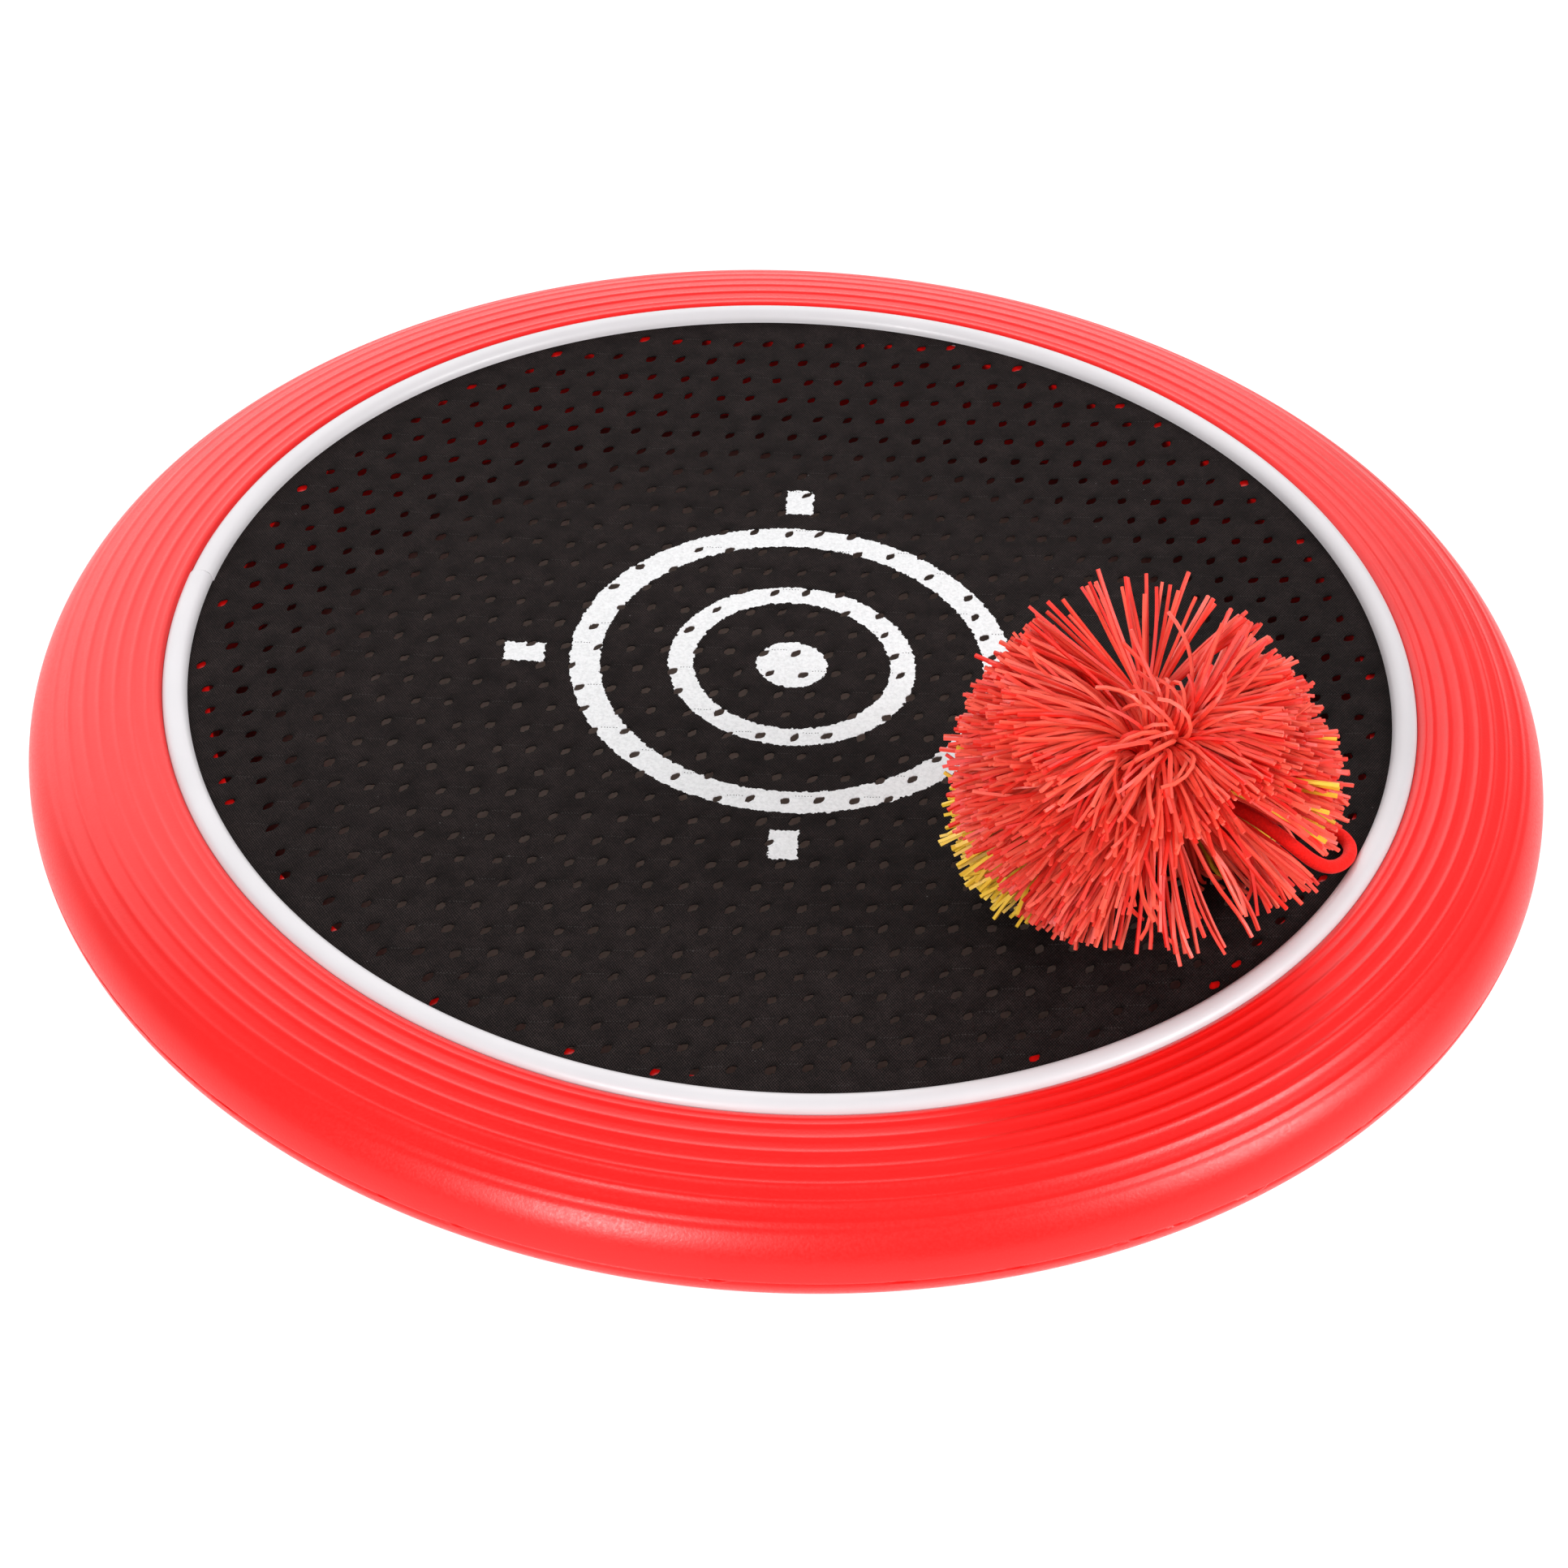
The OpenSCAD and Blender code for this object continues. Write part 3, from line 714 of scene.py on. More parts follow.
def build_hoop():
    profile = hoop_profile()
    n = len(profile)
    half_gap = BUTT_GAP / 2 / HOOP_MID
    verts = []
    for i in range(HOOP_STEPS + 1):
        turn = half_gap + (2 * pi - 2 * half_gap) * i / HOOP_STEPS
        start = exp(-turn * HOOP_MID / BUTT_EASE)
        end = exp(-(2 * pi - turn) * HOOP_MID / BUTT_EASE)
        shift = BUTT_STEP * (start - end)
        angle = BUTT_ANGLE + turn
        verts += [((r + shift) * cos(angle), (r + shift) * sin(angle), z) for r, z in profile]
    faces = ring_faces(HOOP_STEPS + 1, n, closed=False)
    faces.append(tuple(range(n - 1, -1, -1)))
    faces.append(tuple(HOOP_STEPS * n + k for k in range(n)))
    return new_object("clamp_hoop_bar", verts, faces, SMOOTH_ANGLE)


hoop = build_hoop()
dress(hoop, HOOP_MAT)
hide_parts("clamp_hoop")
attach(hoop, "disc")


# The mesh: a knit with real holes, cut into sectors that run from its middle to the rim

MESH_T = 0.18 * MM
SECTORS = 12
SHEET_EDGE = HOOP_OUT - FIT_GAP
CUT_WIDTH = 0.0001 * MM
# Rows of holes on either side of the middle, and the steps along a row and to the next
ROWS = 22
CELLS = [(i, j) for j in range(-ROWS, ROWS + 1) for i in range(-ROWS, ROWS + 1)]
ROW_STEP = np.array((6.5, 0.24)) * MM
COLUMN_STEP = np.array((-1.7, 6.28)) * MM
# How the knit lies in the hoop: its shift from the middle, and what the stretch adds at 100 mm out
KNIT_SHIFT = np.array((2.3, -2.7)) * MM
STRETCH_SPAN = 100 * MM
ROW_BOW = 3.3 * MM
ROW_SPREAD = 4.7 * MM
ROW_FAN = -3.5 * MM
ROW_TWIST = 4.1 * MM
COLUMN_BOW = 4.6 * MM
COLUMN_FAN = 2.2 * MM
COLUMN_SPREAD = 1.7 * MM
# Holes: pointed ovals, drawn together in pairs, and how much they vary
HOLE_L = 2.9 * MM
HOLE_W = 1.62 * MM
HOLE_TILT = radians(54)
HOLE_POINT = 1.45
HOLE_SIDES = 24
LAST_HOLE_R = HOOP_IN - 2.2 * MM
PAIR_SHIFT = np.array((-0.12, 0.15)) * MM
HOLE_WANDER = 0.12 * MM
HOLE_VARIES = np.array((0.07, 0.10, 0.09))
HOLE_RAGGED = 0.055
# Rings round a hole: size in holes, raggedness, and how far they sink all round and on one side
PUCKER = 0.10 * MM
PUCKER_RINGS = ((1.5, 0.3, 0.0, 0.40), (1.16, 0.7, 0.2, 0.7), (1.0, 1.0, 0.5, 0.5))
PUCKER_WAY = radians(65)
# The pale stitches in a row between every second hole and the next
STITCHES = 6
STITCH_SPAN = (0.28, 0.72)
STITCH_BEHIND = 0.95 * MM
STITCH_WANDER = 0.04 * MM
STITCH_R = 0.14 * MM
STITCH_H = 0.09 * MM
LAST_STITCH_R = HOOP_IN - 2 * MM


def knit_place(i, j):
    """Where the point (i, j) of the rows of holes lies on the stretched mesh."""
    p = ROW_STEP * i + COLUMN_STEP * j
    u, v = p / STRETCH_SPAN
    dx = COLUMN_BOW * v * v + COLUMN_FAN * u * v * v + COLUMN_SPREAD * u ** 3
    dy = ROW_BOW * u * u + ROW_SPREAD * v * v + ROW_FAN * u * v + ROW_TWIST * u * v * v
    return p + KNIT_SHIFT + np.array((dx, dy))


def knit_cell(i, j):
    """Corners round a cell of the knit, each with a key that neighbours share."""
    n = HOLE_SIDES // 4
    sides = [[(s, 0), (n, s), (n - s, n), (0, n - s)] for s in range(n)]
    cell = []
    for side in zip(*sides):
        for a, b in side:
            cell.append(((i * n + a, j * n + b), knit_place(i - 0.5 + a / n, j - 0.5 + b / n)))
    return cell


def clip_to_edge(bm, cell, shared):
    """Keys of the corners inside the sheet's edge, and of new ones where the cell's border crosses it."""
    kept = []
    for k, (key, place) in enumerate(cell):
        next_key, next_place = cell[(k + 1) % len(cell)]
        here, there = norm(place), norm(next_place)
        if here <= SHEET_EDGE:
            kept.append(key)
        if (here <= SHEET_EDGE) != (there <= SHEET_EDGE):
            cut = frozenset((key, next_key))
            if cut not in shared:
                share = (SHEET_EDGE - here) / (there - here)
                spot = place + (next_place - place) * share
                shared[cut] = bm.verts.new((*spot, MESH_Z))
            kept.append(cut)
    return kept


def hole_outline(directions, wobble):
    """The hole's reach in each direction, with its length, width and tilt varied."""
    longer, wider, turned = HOLE_VARIES * wobble
    tilt = HOLE_TILT + turned
    c = np.abs(np.cos(directions - tilt)) * 2 / (HOLE_L * (1 + longer))
    s = np.abs(np.sin(directions - tilt)) * 2 / (HOLE_W * (1 + wider))
    return (c ** HOLE_POINT + s ** HOLE_POINT) ** (-1 / HOLE_POINT)


def hole_ring(bm, middle, ways, reach, ragged, ring):
    grow_by, rough, drop, drawn = ring
    corners = []
    for way, far, rag in zip(ways, reach, ragged):
        out = grow_by * far * (1 + rough * rag)
        sink = drop + drawn * max(0.0, cos(way - PUCKER_WAY))
        spot = (middle[0] + out * cos(way), middle[1] + out * sin(way), MESH_Z - PUCKER * sink)
        corners.append(bm.verts.new(spot))
    return corners


def add_hole(bm, outer, middle, wobble, ragged):
    """Fills a cell between its border and the hole."""
    ways = np.array([atan2(v.co.y - middle[1], v.co.x - middle[0]) for v in outer])
    reach = hole_outline(ways, wobble)
    loops = [outer] + [hole_ring(bm, middle, ways, reach, ragged, ring) for ring in PUCKER_RINGS]
    for a, b in zip(loops, loops[1:]):
        for k in range(HOLE_SIDES):
            m = (k + 1) % HOLE_SIDES
            bm.faces.new((a[k], a[m], b[m], b[k]))


def build_knit():
    bm = bmesh.new()
    shared = {}
    for i, j in CELLS:
        wobble = rng.normal(0, 1, 6)
        ragged = rng.normal(0, HOLE_RAGGED, HOLE_SIDES)
        middle = knit_place(i, j)
        if norm(middle) > SHEET_EDGE + ROW_STEP[0]:
            continue
        cell = knit_cell(i, j)
        reach = [norm(place) for key, place in cell]
        if min(reach) > SHEET_EDGE:
            continue
        for (key, place), far in zip(cell, reach):
            if key not in shared and far <= SHEET_EDGE:
                shared[key] = bm.verts.new((*place, MESH_Z))
        if max(reach) > SHEET_EDGE or norm(middle) > LAST_HOLE_R:
            corners = [shared[key] for key in clip_to_edge(bm, cell, shared)]
            if len(corners) > 2:
                bm.faces.new(corners)
            continue
        outer = [shared[key] for key, place in cell]
        middle = middle + PAIR_SHIFT * (1 if (i + j) % 2 else -1) + wobble[:2] * HOLE_WANDER
        add_hole(bm, outer, middle, wobble[2:5], ragged)
    return bm


def stitch_places():
    """Middles of the stitches, in rows just behind the rows of holes."""
    spots = []
    for i, j in CELLS:
        if (i + j) % 2:
            continue
        here, there = knit_place(i, j), knit_place(i + 1, j)
        for t in np.linspace(*STITCH_SPAN, STITCHES):
            spot = here + (there - here) * t + np.array((0, STITCH_BEHIND))
            spot = spot + rng.normal(0, STITCH_WANDER, 2)
            if norm(spot) < LAST_STITCH_R:
                spots.append(spot)
    return np.array(spots)


def sector_of(x, y):
    return np.round(np.arctan2(y, x) / (2 * np.pi) * SECTORS).astype(int) % SECTORS


def cut_sectors(bm):
    """All points of the sheet, and each sector's faces."""
    for k in range(SECTORS // 2):
        edge = pi * (2 * k + 1) / SECTORS
        normal = (-sin(edge), cos(edge), 0)
        geom = bm.verts[:] + bm.edges[:] + bm.faces[:]
        bmesh.ops.bisect_plane(bm, geom=geom, plane_co=(0, 0, MESH_Z), plane_no=normal, dist=CUT_WIDTH)
    bm.verts.index_update()
    coords = np.array([v.co for v in bm.verts])
    groups = [[] for _ in range(SECTORS)]
    for face in bm.faces:
        c = face.calc_center_median()
        groups[int(sector_of(c.x, c.y))].append([v.index for v in face.verts])
    bm.free()
    return coords, groups


def thicken(coords, faces):
    """Top faces given a thickness: the same below, turned over, and a wall along each open edge."""
    used = sorted({v for f in faces for v in f})
    number = {v: k for k, v in enumerate(used)}
    top = coords[used]
    count = len(top)
    low = top - np.array((0, 0, MESH_T))
    solid = [[number[v] for v in f] for f in faces]
    edges = {(f[k], f[(k + 1) % len(f)]) for f in solid for k in range(len(f))}
    walls = [(a, a + count, b + count, b) for a, b in sorted(edges) if (b, a) not in edges]
    below = [[v + count for v in reversed(f)] for f in solid]
    return np.concatenate([top, low]), solid + below + walls


def add_stitches(verts, faces, spots):
    """Small flat closed beads on the mesh."""
    corners = ((1, 0, 0), (0, 1, 0), (-1, 0, 0), (0, -1, 0), (0, 0, 1), (0, 0, -1))
    sides = ((0, 1, 4), (1, 2, 4), (2, 3, 4), (3, 0, 4), (1, 0, 5), (2, 1, 5), (3, 2, 5), (0, 3, 5))
    bead = np.array(corners) * np.array((STITCH_R, STITCH_R, STITCH_H))
    start = len(verts)
    beads = [bead + np.array((x, y, MESH_Z)) for x, y in spots]
    more = [tuple(v + start + len(bead) * k for v in side) for k in range(len(beads)) for side in sides]
    return np.concatenate([verts] + beads), faces + more


def build_sector(name, top_faces, spots):
    verts, faces = thicken(knit_coords, top_faces)
    knit_count = len(verts)
    verts, faces = add_stitches(verts, faces, spots)
    sector = new_object(name, verts, faces, SMOOTH_ANGLE)
    # How deep each point sinks, as a share of the pucker, for the painted shade in the dimples
    dimple_shade = np.zeros(len(verts))
    dimple_shade[:knit_count] = np.tile((MESH_Z - verts[:knit_count // 2, 2]) / PUCKER, 2)
    point_values(sector.data, "dimple_shade", dimple_shade)
    point_values(sector.data, "thread", np.arange(len(verts)) >= knit_count)
    return sector


knit_coords, knit_groups = cut_sectors(build_knit())
stitches = stitch_places()
stitch_sector = sector_of(stitches[:, 0], stitches[:, 1])
for s, top_faces in enumerate(knit_groups):
    sector = build_sector(f"mesh_sector_{s:02d}", top_faces, stitches[stitch_sector == s])
    dress(sector, MESH_MAT)
    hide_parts("mesh_panel", "mesh_hem")
    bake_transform(sector)


# The string ball: cut rubber strands that part at a whorl and fall outwards

STRANDS = 4800
SCATTER = 0.05
STRAND_W = 0.58 * MM
STRAND_W_VARIES = (0.88, 1.08)
STRAND_POINTS = 14
CORE_R = 3.0 * MM
LENGTH_VARIES = 0.028
# How a strand wanders on its way, and how far it sags
WAVE = 0.12
WAVE_PITCH = (3, 9)
SAG = 0.10
# Strands turn towards their clump's middle by a share of the angle, up to a limit
CLUMPS = 260
CLUMP_PULL = 0.40
CLUMP_REACH = 0.25
# How strands part: the least tilt at which they end, and how far beyond it they still bend
PARTED_TILT = radians(66)
PARTED_REACH = radians(62)
PARTED_POWER = 1.1
ROOT_LEAN = 0.10
ROOT_VARIES = 0.13
TURN_VARIES = 0.16
# Where along a strand its bend starts and ends, and what is added next to the whorl
BEND = (0.02, 0.60)
WHORL_BEND = (0.22, 0.16)
# Neat strands and messy ones, and the drift that neighbours share
MESSY_SHARE = 0.08
NEAT_STRAY, MESSY_STRAY = 0.09, 0.38
NEAT_TWIST, MESSY_TWIST = 0.11, 0.45
DRIFT_WAVES, DRIFT_SIZE = 6.0, 0.11
# The ball's outline: degrees round from the camera's right, and millimetres from the middle
OUTLINE = np.array((
    (-180, 36.4), (-136, 34.6), (-98, 33.4), (-60, 35.2), (-28, 37.4), (0, 38.0),
    (29, 34.4), (61, 34.0), (94, 35.6), (129, 36.0), (168, 36.8), (180, 36.4),
))
# The upper strands, in degrees round, and the share that part from the upper whorl
UPPER_SPAN = (20, 178)
UPPER_SHARE = 0.85
# The gap at the top, where strands part to both sides: middle, half width and shift, in degrees
GAP_MIDDLE, GAP_HALF, GAP_SIDE = 89, 30, 18
# Strands behind the gap stay low: degrees from the camera's way, and millimetres up
GAP_BACK = radians(66)
GAP_REACH = 14.5 * MM
# The sparse place at the lower right: middle and half width in degrees, and the share missing there
SPARSE_MIDDLE, SPARSE_HALF, SPARSE_SHARE = -69, 40, 0.985
SPARSE_SHARPNESS = 16
SPARSE_START = (0.15, 0.45)
SPARSE_END = radians(149)
# Strands that show singly: degrees round from the camera's right, how many, and how they vary
FAN_SPOTS = (
    (43, 9), (47, 6), (59, 3), (70, 1), (77, 3), (84, 2), (90, 2), (95, 2), (101, 2), (108, 2),
    (112, 2), (117, 3), (127, 2), (133, 2), (141, 5), (146, 7), (151, 9), (156, 10),
)
HANG_SPOTS = (
    (-98, 2), (-91, 1), (-87, 1), (-84, 2), (-79, 3), (-75, 1), (-66, 1), (-59, 1), (-45, 1), (-40, 2),
    (-37, 4), (-33, 5), (-29, 5),
)
YELLOW_SPOTS = ((-21, 3), (-17, 4), (-8, 3), (12, 1))
SPOT_TURN, SPOT_DEPTH, SPOT_LENGTH = 1.3, 0.14, 0.035
SPOT_STRAY, SPOT_TWIST = 0.07, 0.05
# Strands that rise and hook over: tilts in degrees, lengths in millimetres, and where they bend
CURLS = 60
CURL_TILTS = ((2, 20), (95, 190))
CURL_LENGTH = (27, 36)
CURL_BEND = ((0.30, 0.60), (0.85, 1.05))
CURL_STRAY, CURL_TWIST, CURL_SIDE = 0.15, 0.8, 0.4
# Yellow strands: longer in two patches, shorter where single, and a few odd ones between
YELLOW_EXTRA = 1.07
YELLOW_REACH = 0.94
YELLOW_EDGE = radians(60)
YELLOW_LEFT_RISE = (-38, 3)
YELLOW_RIGHT_RISE = -6
YELLOW_RIGHT_ASIDE = (6, 42)
ODD_YELLOW = 0.012
ODD_SIDE = 0.35
# How strands lie on the mesh, and stay clear of the loop and its shown part
REST_SHARE = 0.8
REST_EASE = 4 * MM
LOOP_SHOWN = slice(5, 53)
LOOP_CLEAR = 1.7 * MM
LOOP_AHEAD = 0.2 * MM
TOUCH_SHARE = 0.6


def unit_rows(v):
    return v / np.maximum(norm(v, axis=-1, keepdims=True), 1e-12)


def frame_about(axis):
    """Unit vectors: the axis, the camera's right made square to it, and the third one."""
    right = np.array(CAMERA_RIGHT)
    axis = unit_rows(np.array(axis))
    across = unit_rows(right - axis * (right @ axis))
    return axis, across, np.cross(axis, across)


VIEW = frame_about(CAMERA_PLACE - BALL)
WHORL = frame_about(0.90 * VIEW[0] + 0.28 * VIEW[1] + 0.33 * VIEW[2])
WHORL_TOP = frame_about(0.80 * VIEW[0] + 0.10 * VIEW[1] + 0.60 * VIEW[2])
CROWN = frame_about(0.10 * VIEW[0] - 0.02 * VIEW[1] + VIEW[2])


def pointing(axes, tilt, turn):
    """Directions at a tilt from the axis and a turn round it."""
    axis, right, up = axes
    aside = np.cos(turn)[:, None] * right + np.sin(turn)[:, None] * up
    return np.cos(tilt)[:, None] * axis + np.sin(tilt)[:, None] * aside


def bearings(axes, ways):
    """Tilt from the axis and turn round it."""
    axis, right, up = axes
    return np.arccos(np.clip(ways @ axis, -1, 1)), np.arctan2(ways @ up, ways @ right)


def scatter(count):
    """Even directions over the ball, in a spiral with some noise."""
    k = np.arange(count) + 0.5
    tilt = np.arccos(1 - 2 * k / count)
    turn = np.pi * (1 + 5 ** 0.5) * k
    way = np.stack([np.sin(tilt) * np.cos(turn), np.sin(tilt) * np.sin(turn), np.cos(tilt)], 1)
    return unit_rows(way + rng.normal(0, SCATTER, way.shape))


def drift(ways):
    """A smooth random shift that neighbouring strands share."""
    pitch = rng.normal(0, DRIFT_WAVES, (3, 10, 3))
    phase = rng.uniform(0, 2 * np.pi, (3, 10))
    return DRIFT_SIZE * np.stack([np.sin(ways @ pitch[k].T + phase[k]).mean(1) for k in range(3)], 1) * 3


def smoothstep(x, low, high):
    t = np.clip((x - low) / (high - low), 0, 1)
    return t * t * (3 - 2 * t)


def outline_reach(turn):
    return np.interp(np.degrees(turn), OUTLINE[:, 0], OUTLINE[:, 1]) * MM


def within(x, span):
    return (x > span[0]) & (x < span[1])


def at_edge(ways):
    """True for directions that the camera sees near the ball's outline."""
    return bearings(VIEW, ways)[0] > YELLOW_EDGE


def tuft_names(ways):
    """The part's node that each direction belongs to."""
    x, y, z = ways.T
    size = np.abs(ways).max(1)
    rise = np.degrees(np.arctan2(z, np.abs(x)))
    aside = np.degrees(np.arctan2(y, x))
    yellow = (rise < YELLOW_RIGHT_RISE) & within(aside, YELLOW_RIGHT_ASIDE)
    right = np.where(yellow, "yellow_strands_right", "red_strands_right")
    yellow = within(rise, YELLOW_LEFT_RISE) & at_edge(ways)
    left = np.where(yellow, "yellow_strands_left", "red_strands_left")
    names = np.where(x > 0, right, left)
    names = np.where(size == np.abs(y), np.where(y > 0, "red_strands_back", "red_strands_front"), names)
    return np.where(size == np.abs(z), np.where(z > 0, "red_strands_crown", "red_strands_base"), names)


def grow(axes, turn, start_tilt, end_tilt, length, stray, twist, bend, wave=WAVE):
    """Strands that leave the core at one tilt to the axis and bend to another."""
    count = len(turn)
    paths = np.zeros((count, STRAND_POINTS, 3))
    place = CENTRE + CORE_R * pointing(axes, start_tilt, turn)
    paths[:, 0] = place
    step = (length - CORE_R) / (STRAND_POINTS - 1)
    waving = rng.normal(0, wave, (count, 3))
    pitch = rng.uniform(*WAVE_PITCH, (count, 1))
    phase = rng.uniform(0, 2 * np.pi, (count, 1))
    for k in range(1, STRAND_POINTS):
        s = (k - 0.5) / (STRAND_POINTS - 1)
        tilt = start_tilt + (end_tilt - start_tilt) * smoothstep(s, bend[0], bend[1])
        way = pointing(axes, tilt, turn + twist * s * s) + stray * s * s
        way = way + waving * s * np.sin(pitch * s + phase)
        way = unit_rows(way + np.array((0, 0, -SAG)) * s)
        place = place + way * step[:, None]
        paths[:, k] = place
    return paths


def parted_strands(axes, ways, length):
    """Strands that part from the axis: those nearest to it run up along it and then bend away."""
    count = len(ways)
    tilt, turn = bearings(axes, ways)
    clumps = unit_rows(rng.normal(0, 1, (CLUMPS, 3)))
    nearest = np.argmax(ways @ clumps.T, axis=1)
    gap = bearings(axes, clumps)[1][nearest] - turn
    gap = (gap + np.pi) % (2 * np.pi) - np.pi
    end_tilt = PARTED_TILT + (np.pi - PARTED_TILT) * (tilt / np.pi) ** PARTED_POWER
    share = np.clip((end_tilt - PARTED_TILT) / PARTED_REACH, 0, 1)
    start_tilt = end_tilt * (ROOT_LEAN + (1 - ROOT_LEAN) * share)
    start_tilt = start_tilt + np.abs(rng.normal(0, ROOT_VARIES, count)) * (1 - share)
    turn = turn + rng.normal(0, TURN_VARIES, count) * (1 - share)
    bend = [place + added * (1 - share) for place, added in zip(BEND, WHORL_BEND)]
    messy = rng.random(count) < MESSY_SHARE
    stray = drift(ways)
    stray = stray + rng.normal(0, 1, (count, 3)) * np.where(messy, MESSY_STRAY, NEAT_STRAY)[:, None]
    twist = rng.normal(0, NEAT_TWIST, count) + np.where(messy, rng.normal(0, MESSY_TWIST, count), 0)
    twist = twist + CLUMP_PULL * np.clip(gap, -CLUMP_REACH, CLUMP_REACH)
    return grow(axes, turn, start_tilt, end_tilt, length, stray, twist, bend)


def main_strands():
    ways = scatter(STRANDS)
    theta, phi = bearings(VIEW, ways)
    phi = np.degrees(phi)
    off = phi - GAP_MIDDLE
    inside = np.abs(off) < GAP_HALF
    low = inside & (theta > GAP_BACK)
    spread = np.sign(off) * (GAP_HALF + GAP_SIDE * np.abs(off) / GAP_HALF)
    phi = np.where(inside & ~low, GAP_MIDDLE + spread, phi)
    ways = pointing(VIEW, theta, np.radians(phi))
    tilt, turn = bearings(WHORL, ways)
    sparse = np.exp(-((np.degrees(turn) - SPARSE_MIDDLE) / SPARSE_HALF) ** SPARSE_SHARPNESS)
    sparse = sparse * smoothstep(tilt, *SPARSE_START) * (tilt < SPARSE_END)
    kept = rng.random(STRANDS) > SPARSE_SHARE * sparse
    ways, phi, low = ways[kept], phi[kept], low[kept]
    count = len(ways)
    length = outline_reach(np.radians((phi + 180) % 360 - 180)) * (1 + rng.normal(0, LENGTH_VARIES, count))
    length = np.where(np.char.startswith(tuft_names(ways), "yellow"), length * YELLOW_EXTRA, length)
    upper = within(phi, UPPER_SPAN) & (rng.random(count) < UPPER_SHARE)
    paths = np.zeros((count, STRAND_POINTS, 3))
    for axes, chosen in ((WHORL_TOP, upper), (WHORL, ~upper)):
        paths[chosen] = parted_strands(axes, ways[chosen], length[chosen])
    out = paths - CENTRE
    rise = np.maximum((out @ VIEW[2]).max(1), GAP_REACH)
    shrink = np.where(low, GAP_REACH / rise, 1)
    return CENTRE + out * shrink[:, None, None], ways


def spot_strands(spots, axes, rooted, bend, depth, wave):
    """Strands at given places of the outline, which leave the core at the rooted share of their tilt."""
    phi = np.repeat([place for place, number in spots], [number for place, number in spots])
    count = len(phi)
    phi = np.radians(phi + rng.normal(0, SPOT_TURN, count))
    away = rng.normal(depth, SPOT_DEPTH, count)
    end = np.cos(phi)[:, None] * VIEW[1] + np.sin(phi)[:, None] * VIEW[2] - away[:, None] * VIEW[0]
    end = unit_rows(end)
    tilt, turn = bearings(axes, end)
    reach = outline_reach(phi) * (1 + rng.normal(0, SPOT_LENGTH, count))
    stray = rng.normal(0, SPOT_STRAY, (count, 3))
    twist = rng.normal(0, SPOT_TWIST, count)
    return grow(axes, turn, tilt * rooted, tilt, reach, stray, twist, bend, wave), end


def curled_strands():
    """Strands that rise at the whorl and hook over near their ends."""
    turn = rng.uniform(-np.pi, np.pi, CURLS)
    start, end = [np.radians(rng.uniform(*span, CURLS)) for span in CURL_TILTS]
    length = rng.uniform(*CURL_LENGTH, CURLS) * MM
    stray = rng.normal(0, CURL_STRAY, (CURLS, 3))
    twist = rng.normal(0, CURL_TWIST, CURLS)
    bend = [rng.uniform(*span, CURLS) for span in CURL_BEND]
    paths = grow(WHORL, turn, start, end, length, stray, twist, bend)
    return paths, pointing(WHORL, end * CURL_SIDE, turn)


def rest_on_mesh(paths):
    """Lifts what would sink into the mesh, softly."""
    rest = MESH_Z + STRAND_W * REST_SHARE
    height = paths[..., 2] - rest
    lifted = rest + REST_EASE * np.exp(np.clip(height / REST_EASE - 1, -4, 0))
    paths[..., 2] = np.where(height < REST_EASE, lifted, paths[..., 2])
    return paths


def clear_of_loop(paths):
    """True for strands that neither hide the loop's shown part nor cut through the loop."""
    line = np.array([list(p) for p in loop_line])
    shown = line[LOOP_SHOWN]
    look = -VIEW[0]
    flat_line = shown - (shown @ look)[:, None] * look
    clear = np.ones(len(paths), bool)
    middles = (paths[:, 1:] + paths[:, :-1]) / 2
    places = np.concatenate([paths, middles], axis=1)
    for p in places.swapaxes(0, 1):
        flat = p - (p @ look)[:, None] * look
        gap = norm(flat[:, None] - flat_line[None], axis=2)
        nearest = gap.argmin(1)
        ahead = (shown[nearest] - p) @ look > -LOOP_AHEAD
        clear &= ~((gap.min(1) < LOOP_CLEAR) & ahead)
        around = norm(p[:, None] - line[None], axis=2).min(1)
        clear &= around > CORD_D / 2 + STRAND_W * TOUCH_SHARE
    return clear


def strand_corners(paths):
    """Four corners round each point of each path."""
    count, points = paths.shape[:2]
    way = unit_rows(np.gradient(paths, axis=1))
    side = rng.normal(0, 1, (count, 3))
    corners = np.zeros((count, points, 4, 3))
    half = STRAND_W / 2 * rng.uniform(*STRAND_W_VARIES, (count, 2))
    for k in range(points):
        side = unit_rows(side - (side * way[:, k]).sum(1, keepdims=True) * way[:, k])
        other = np.cross(way[:, k], side)
        for c, (a, b) in enumerate(((-1, -1), (1, -1), (1, 1), (-1, 1))):
            corners[:, k, c] = paths[:, k] + a * half[:, :1] * side + b * half[:, 1:] * other
    return corners


def strand_faces(count, points):
    """Four sides and two ends of each strand."""
    base = np.arange(count)[:, None, None] * points * 4
    ring = np.arange(points - 1)[None, :, None] * 4
    c = np.arange(4)[None, None, :]
    a = base + ring + c
    b = base + ring + (c + 1) % 4
    quads = np.stack([a, b, b + 4, a + 4], -1).reshape(-1, 4)
    start = base[:, 0, :] + np.array([[3, 2, 1, 0]])
    end = base[:, 0, :] + (points - 1) * 4 + np.array([[0, 1, 2, 3]])
    return np.concatenate([quads, start, end])


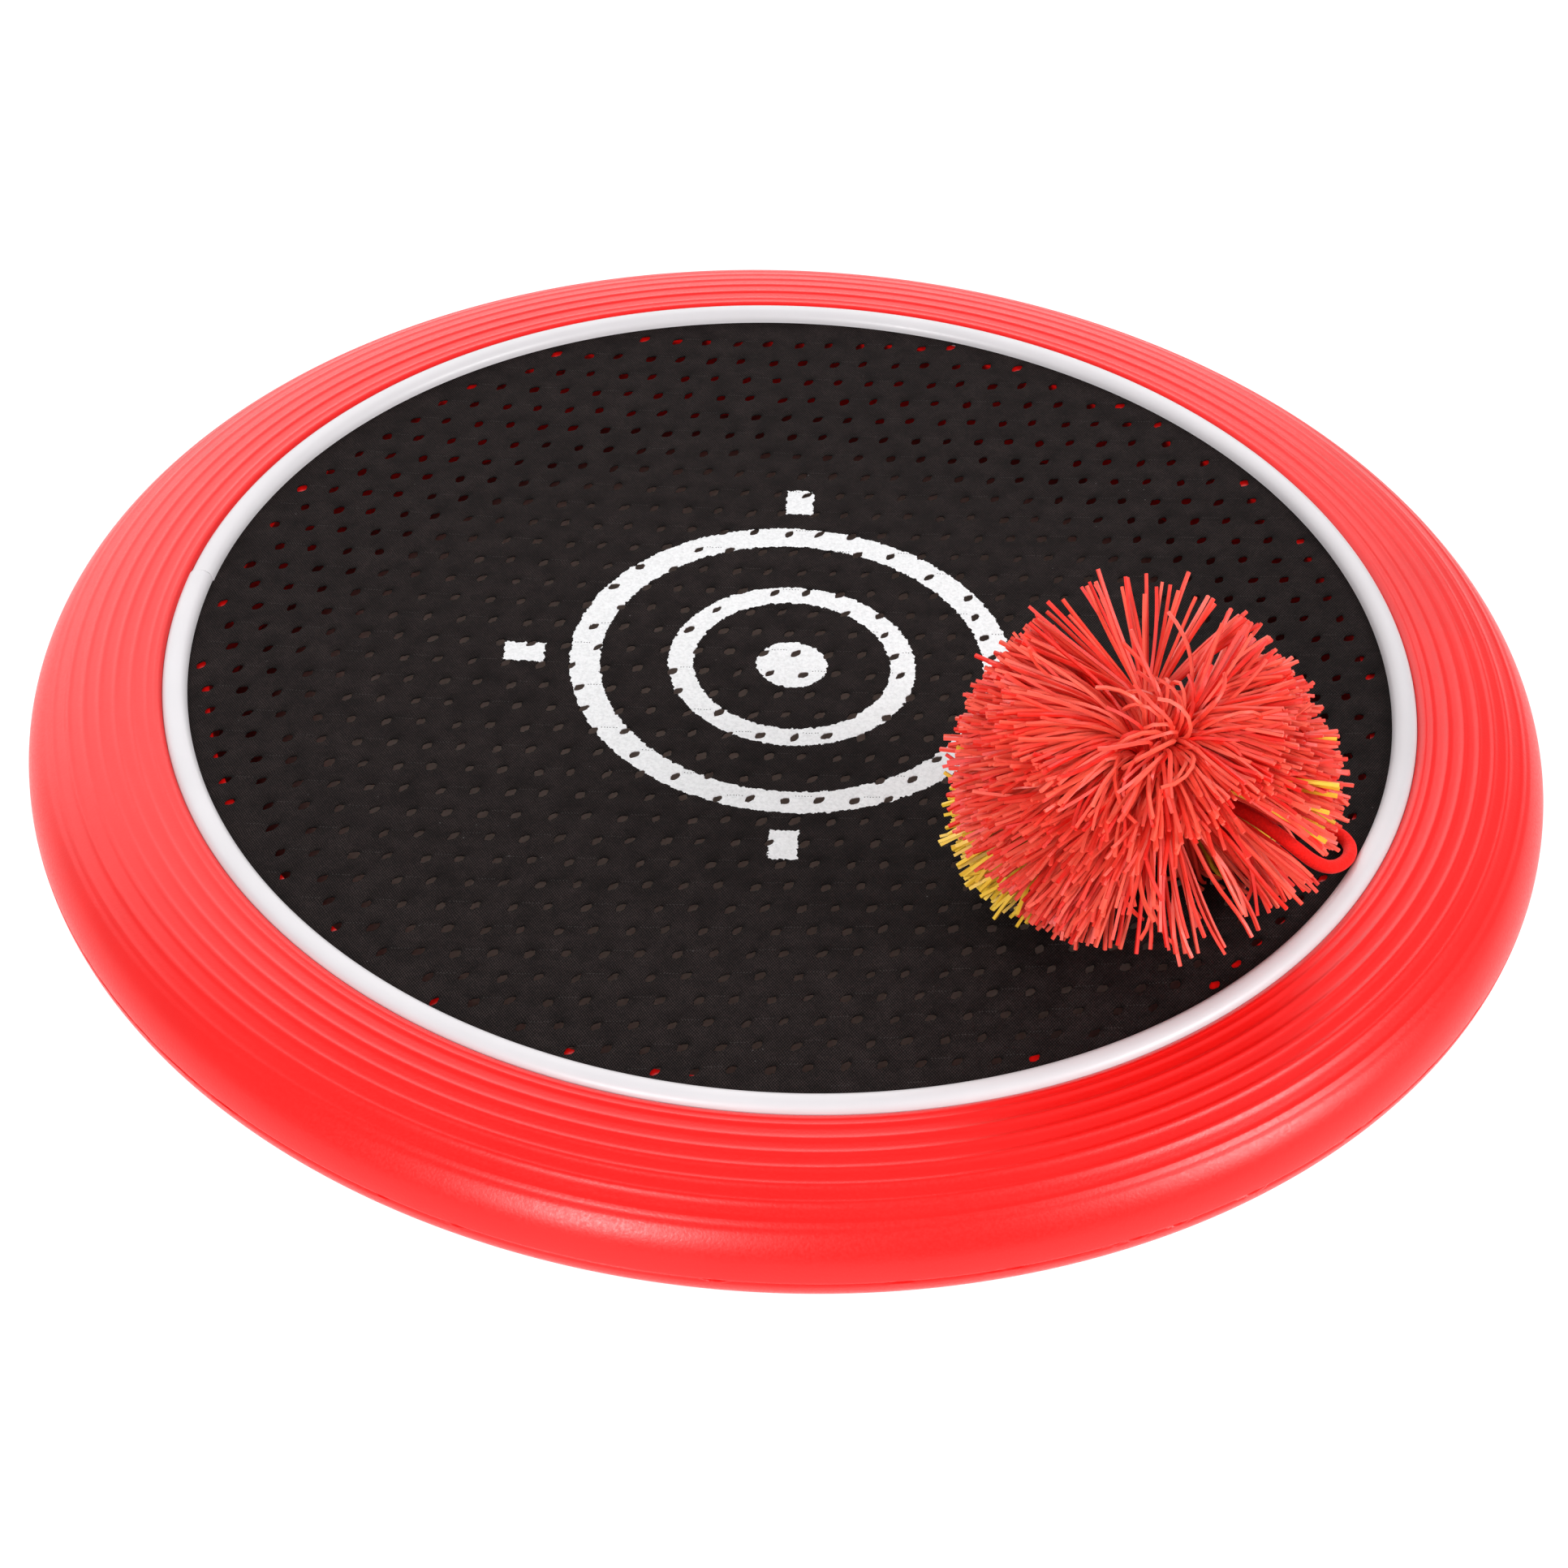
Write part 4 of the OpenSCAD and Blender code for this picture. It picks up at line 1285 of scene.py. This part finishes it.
def sweep(name, paths, tones):
    """Square strands along the paths, as one mesh with sharp edges."""
    count, points = paths.shape[:2]
    obj = new_object(name, strand_corners(paths).reshape(-1, 3), strand_faces(count, points).tolist())
    mesh = obj.data
    mesh.polygons.foreach_set("use_smooth", np.ones(len(mesh.polygons), bool))
    ends = np.zeros(len(mesh.edges) * 2, np.int32)
    mesh.edges.foreach_get("vertices", ends)
    ends = ends.reshape(-1, 2)
    ring = (ends // 4) % points
    sharp = (np.abs(ends[:, 0] - ends[:, 1]) == 4) | ((ring == 0) | (ring == points - 1)).all(1)
    mesh.attributes.new("sharp_edge", "BOOLEAN", "EDGE").data.foreach_set("value", sharp)
    point_values(mesh, "tone", np.repeat(tones, points * 4))
    return obj


fan = spot_strands(FAN_SPOTS, CROWN, rooted=0.12, bend=(0.16, 0.46), depth=0.05, wave=0.06)
hanging = spot_strands(HANG_SPOTS, WHORL, rooted=0.75, bend=(0.05, 0.6), depth=0.0, wave=0.24)
yellow_paths, yellow_ways = spot_strands(
    YELLOW_SPOTS, WHORL, rooted=0.6, bend=(0.05, 0.6), depth=-0.12, wave=0.08,
)
yellow_paths = CENTRE + YELLOW_REACH * (yellow_paths - CENTRE)
grown = (main_strands(), fan, hanging, curled_strands(), (yellow_paths, yellow_ways))
paths = rest_on_mesh(np.concatenate([g[0] for g in grown]))
ways = np.concatenate([g[1] for g in grown])
tones = rng.random(len(paths))
tufts = tuft_names(ways)
odd = (rng.random(len(ways)) < ODD_YELLOW) & (np.abs(ways[:, 0]) > ODD_SIDE) & at_edge(ways)
odd[-len(yellow_paths):] = True
tufts = np.where(odd, np.where(ways[:, 0] > 0, "yellow_strands_right", "yellow_strands_left"), tufts)
clear = clear_of_loop(paths)
paths, tones, tufts = paths[clear], tones[clear], tufts[clear]
for node in sorted(set(tufts)):
    chosen = tufts == node
    yellow = node.startswith("yellow")
    obj = sweep(node.replace("strands", "rubber_strands"), paths[chosen], tones[chosen])
    dress(obj, YELLOW_MAT if yellow else CORAL_MAT)
    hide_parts(node)
    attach(obj, "ball")


# The solids that stay as they are get their materials
for node, material in (
    ("base_hoop", HOOP_MAT), ("hoop_splice_pin", PIN_MAT),
    ("core_tie", ELASTIC_MAT), ("loop_knot", ELASTIC_MAT),
):
    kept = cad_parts[node]
    kept.data.materials.clear()
    kept.data.materials.append(material)
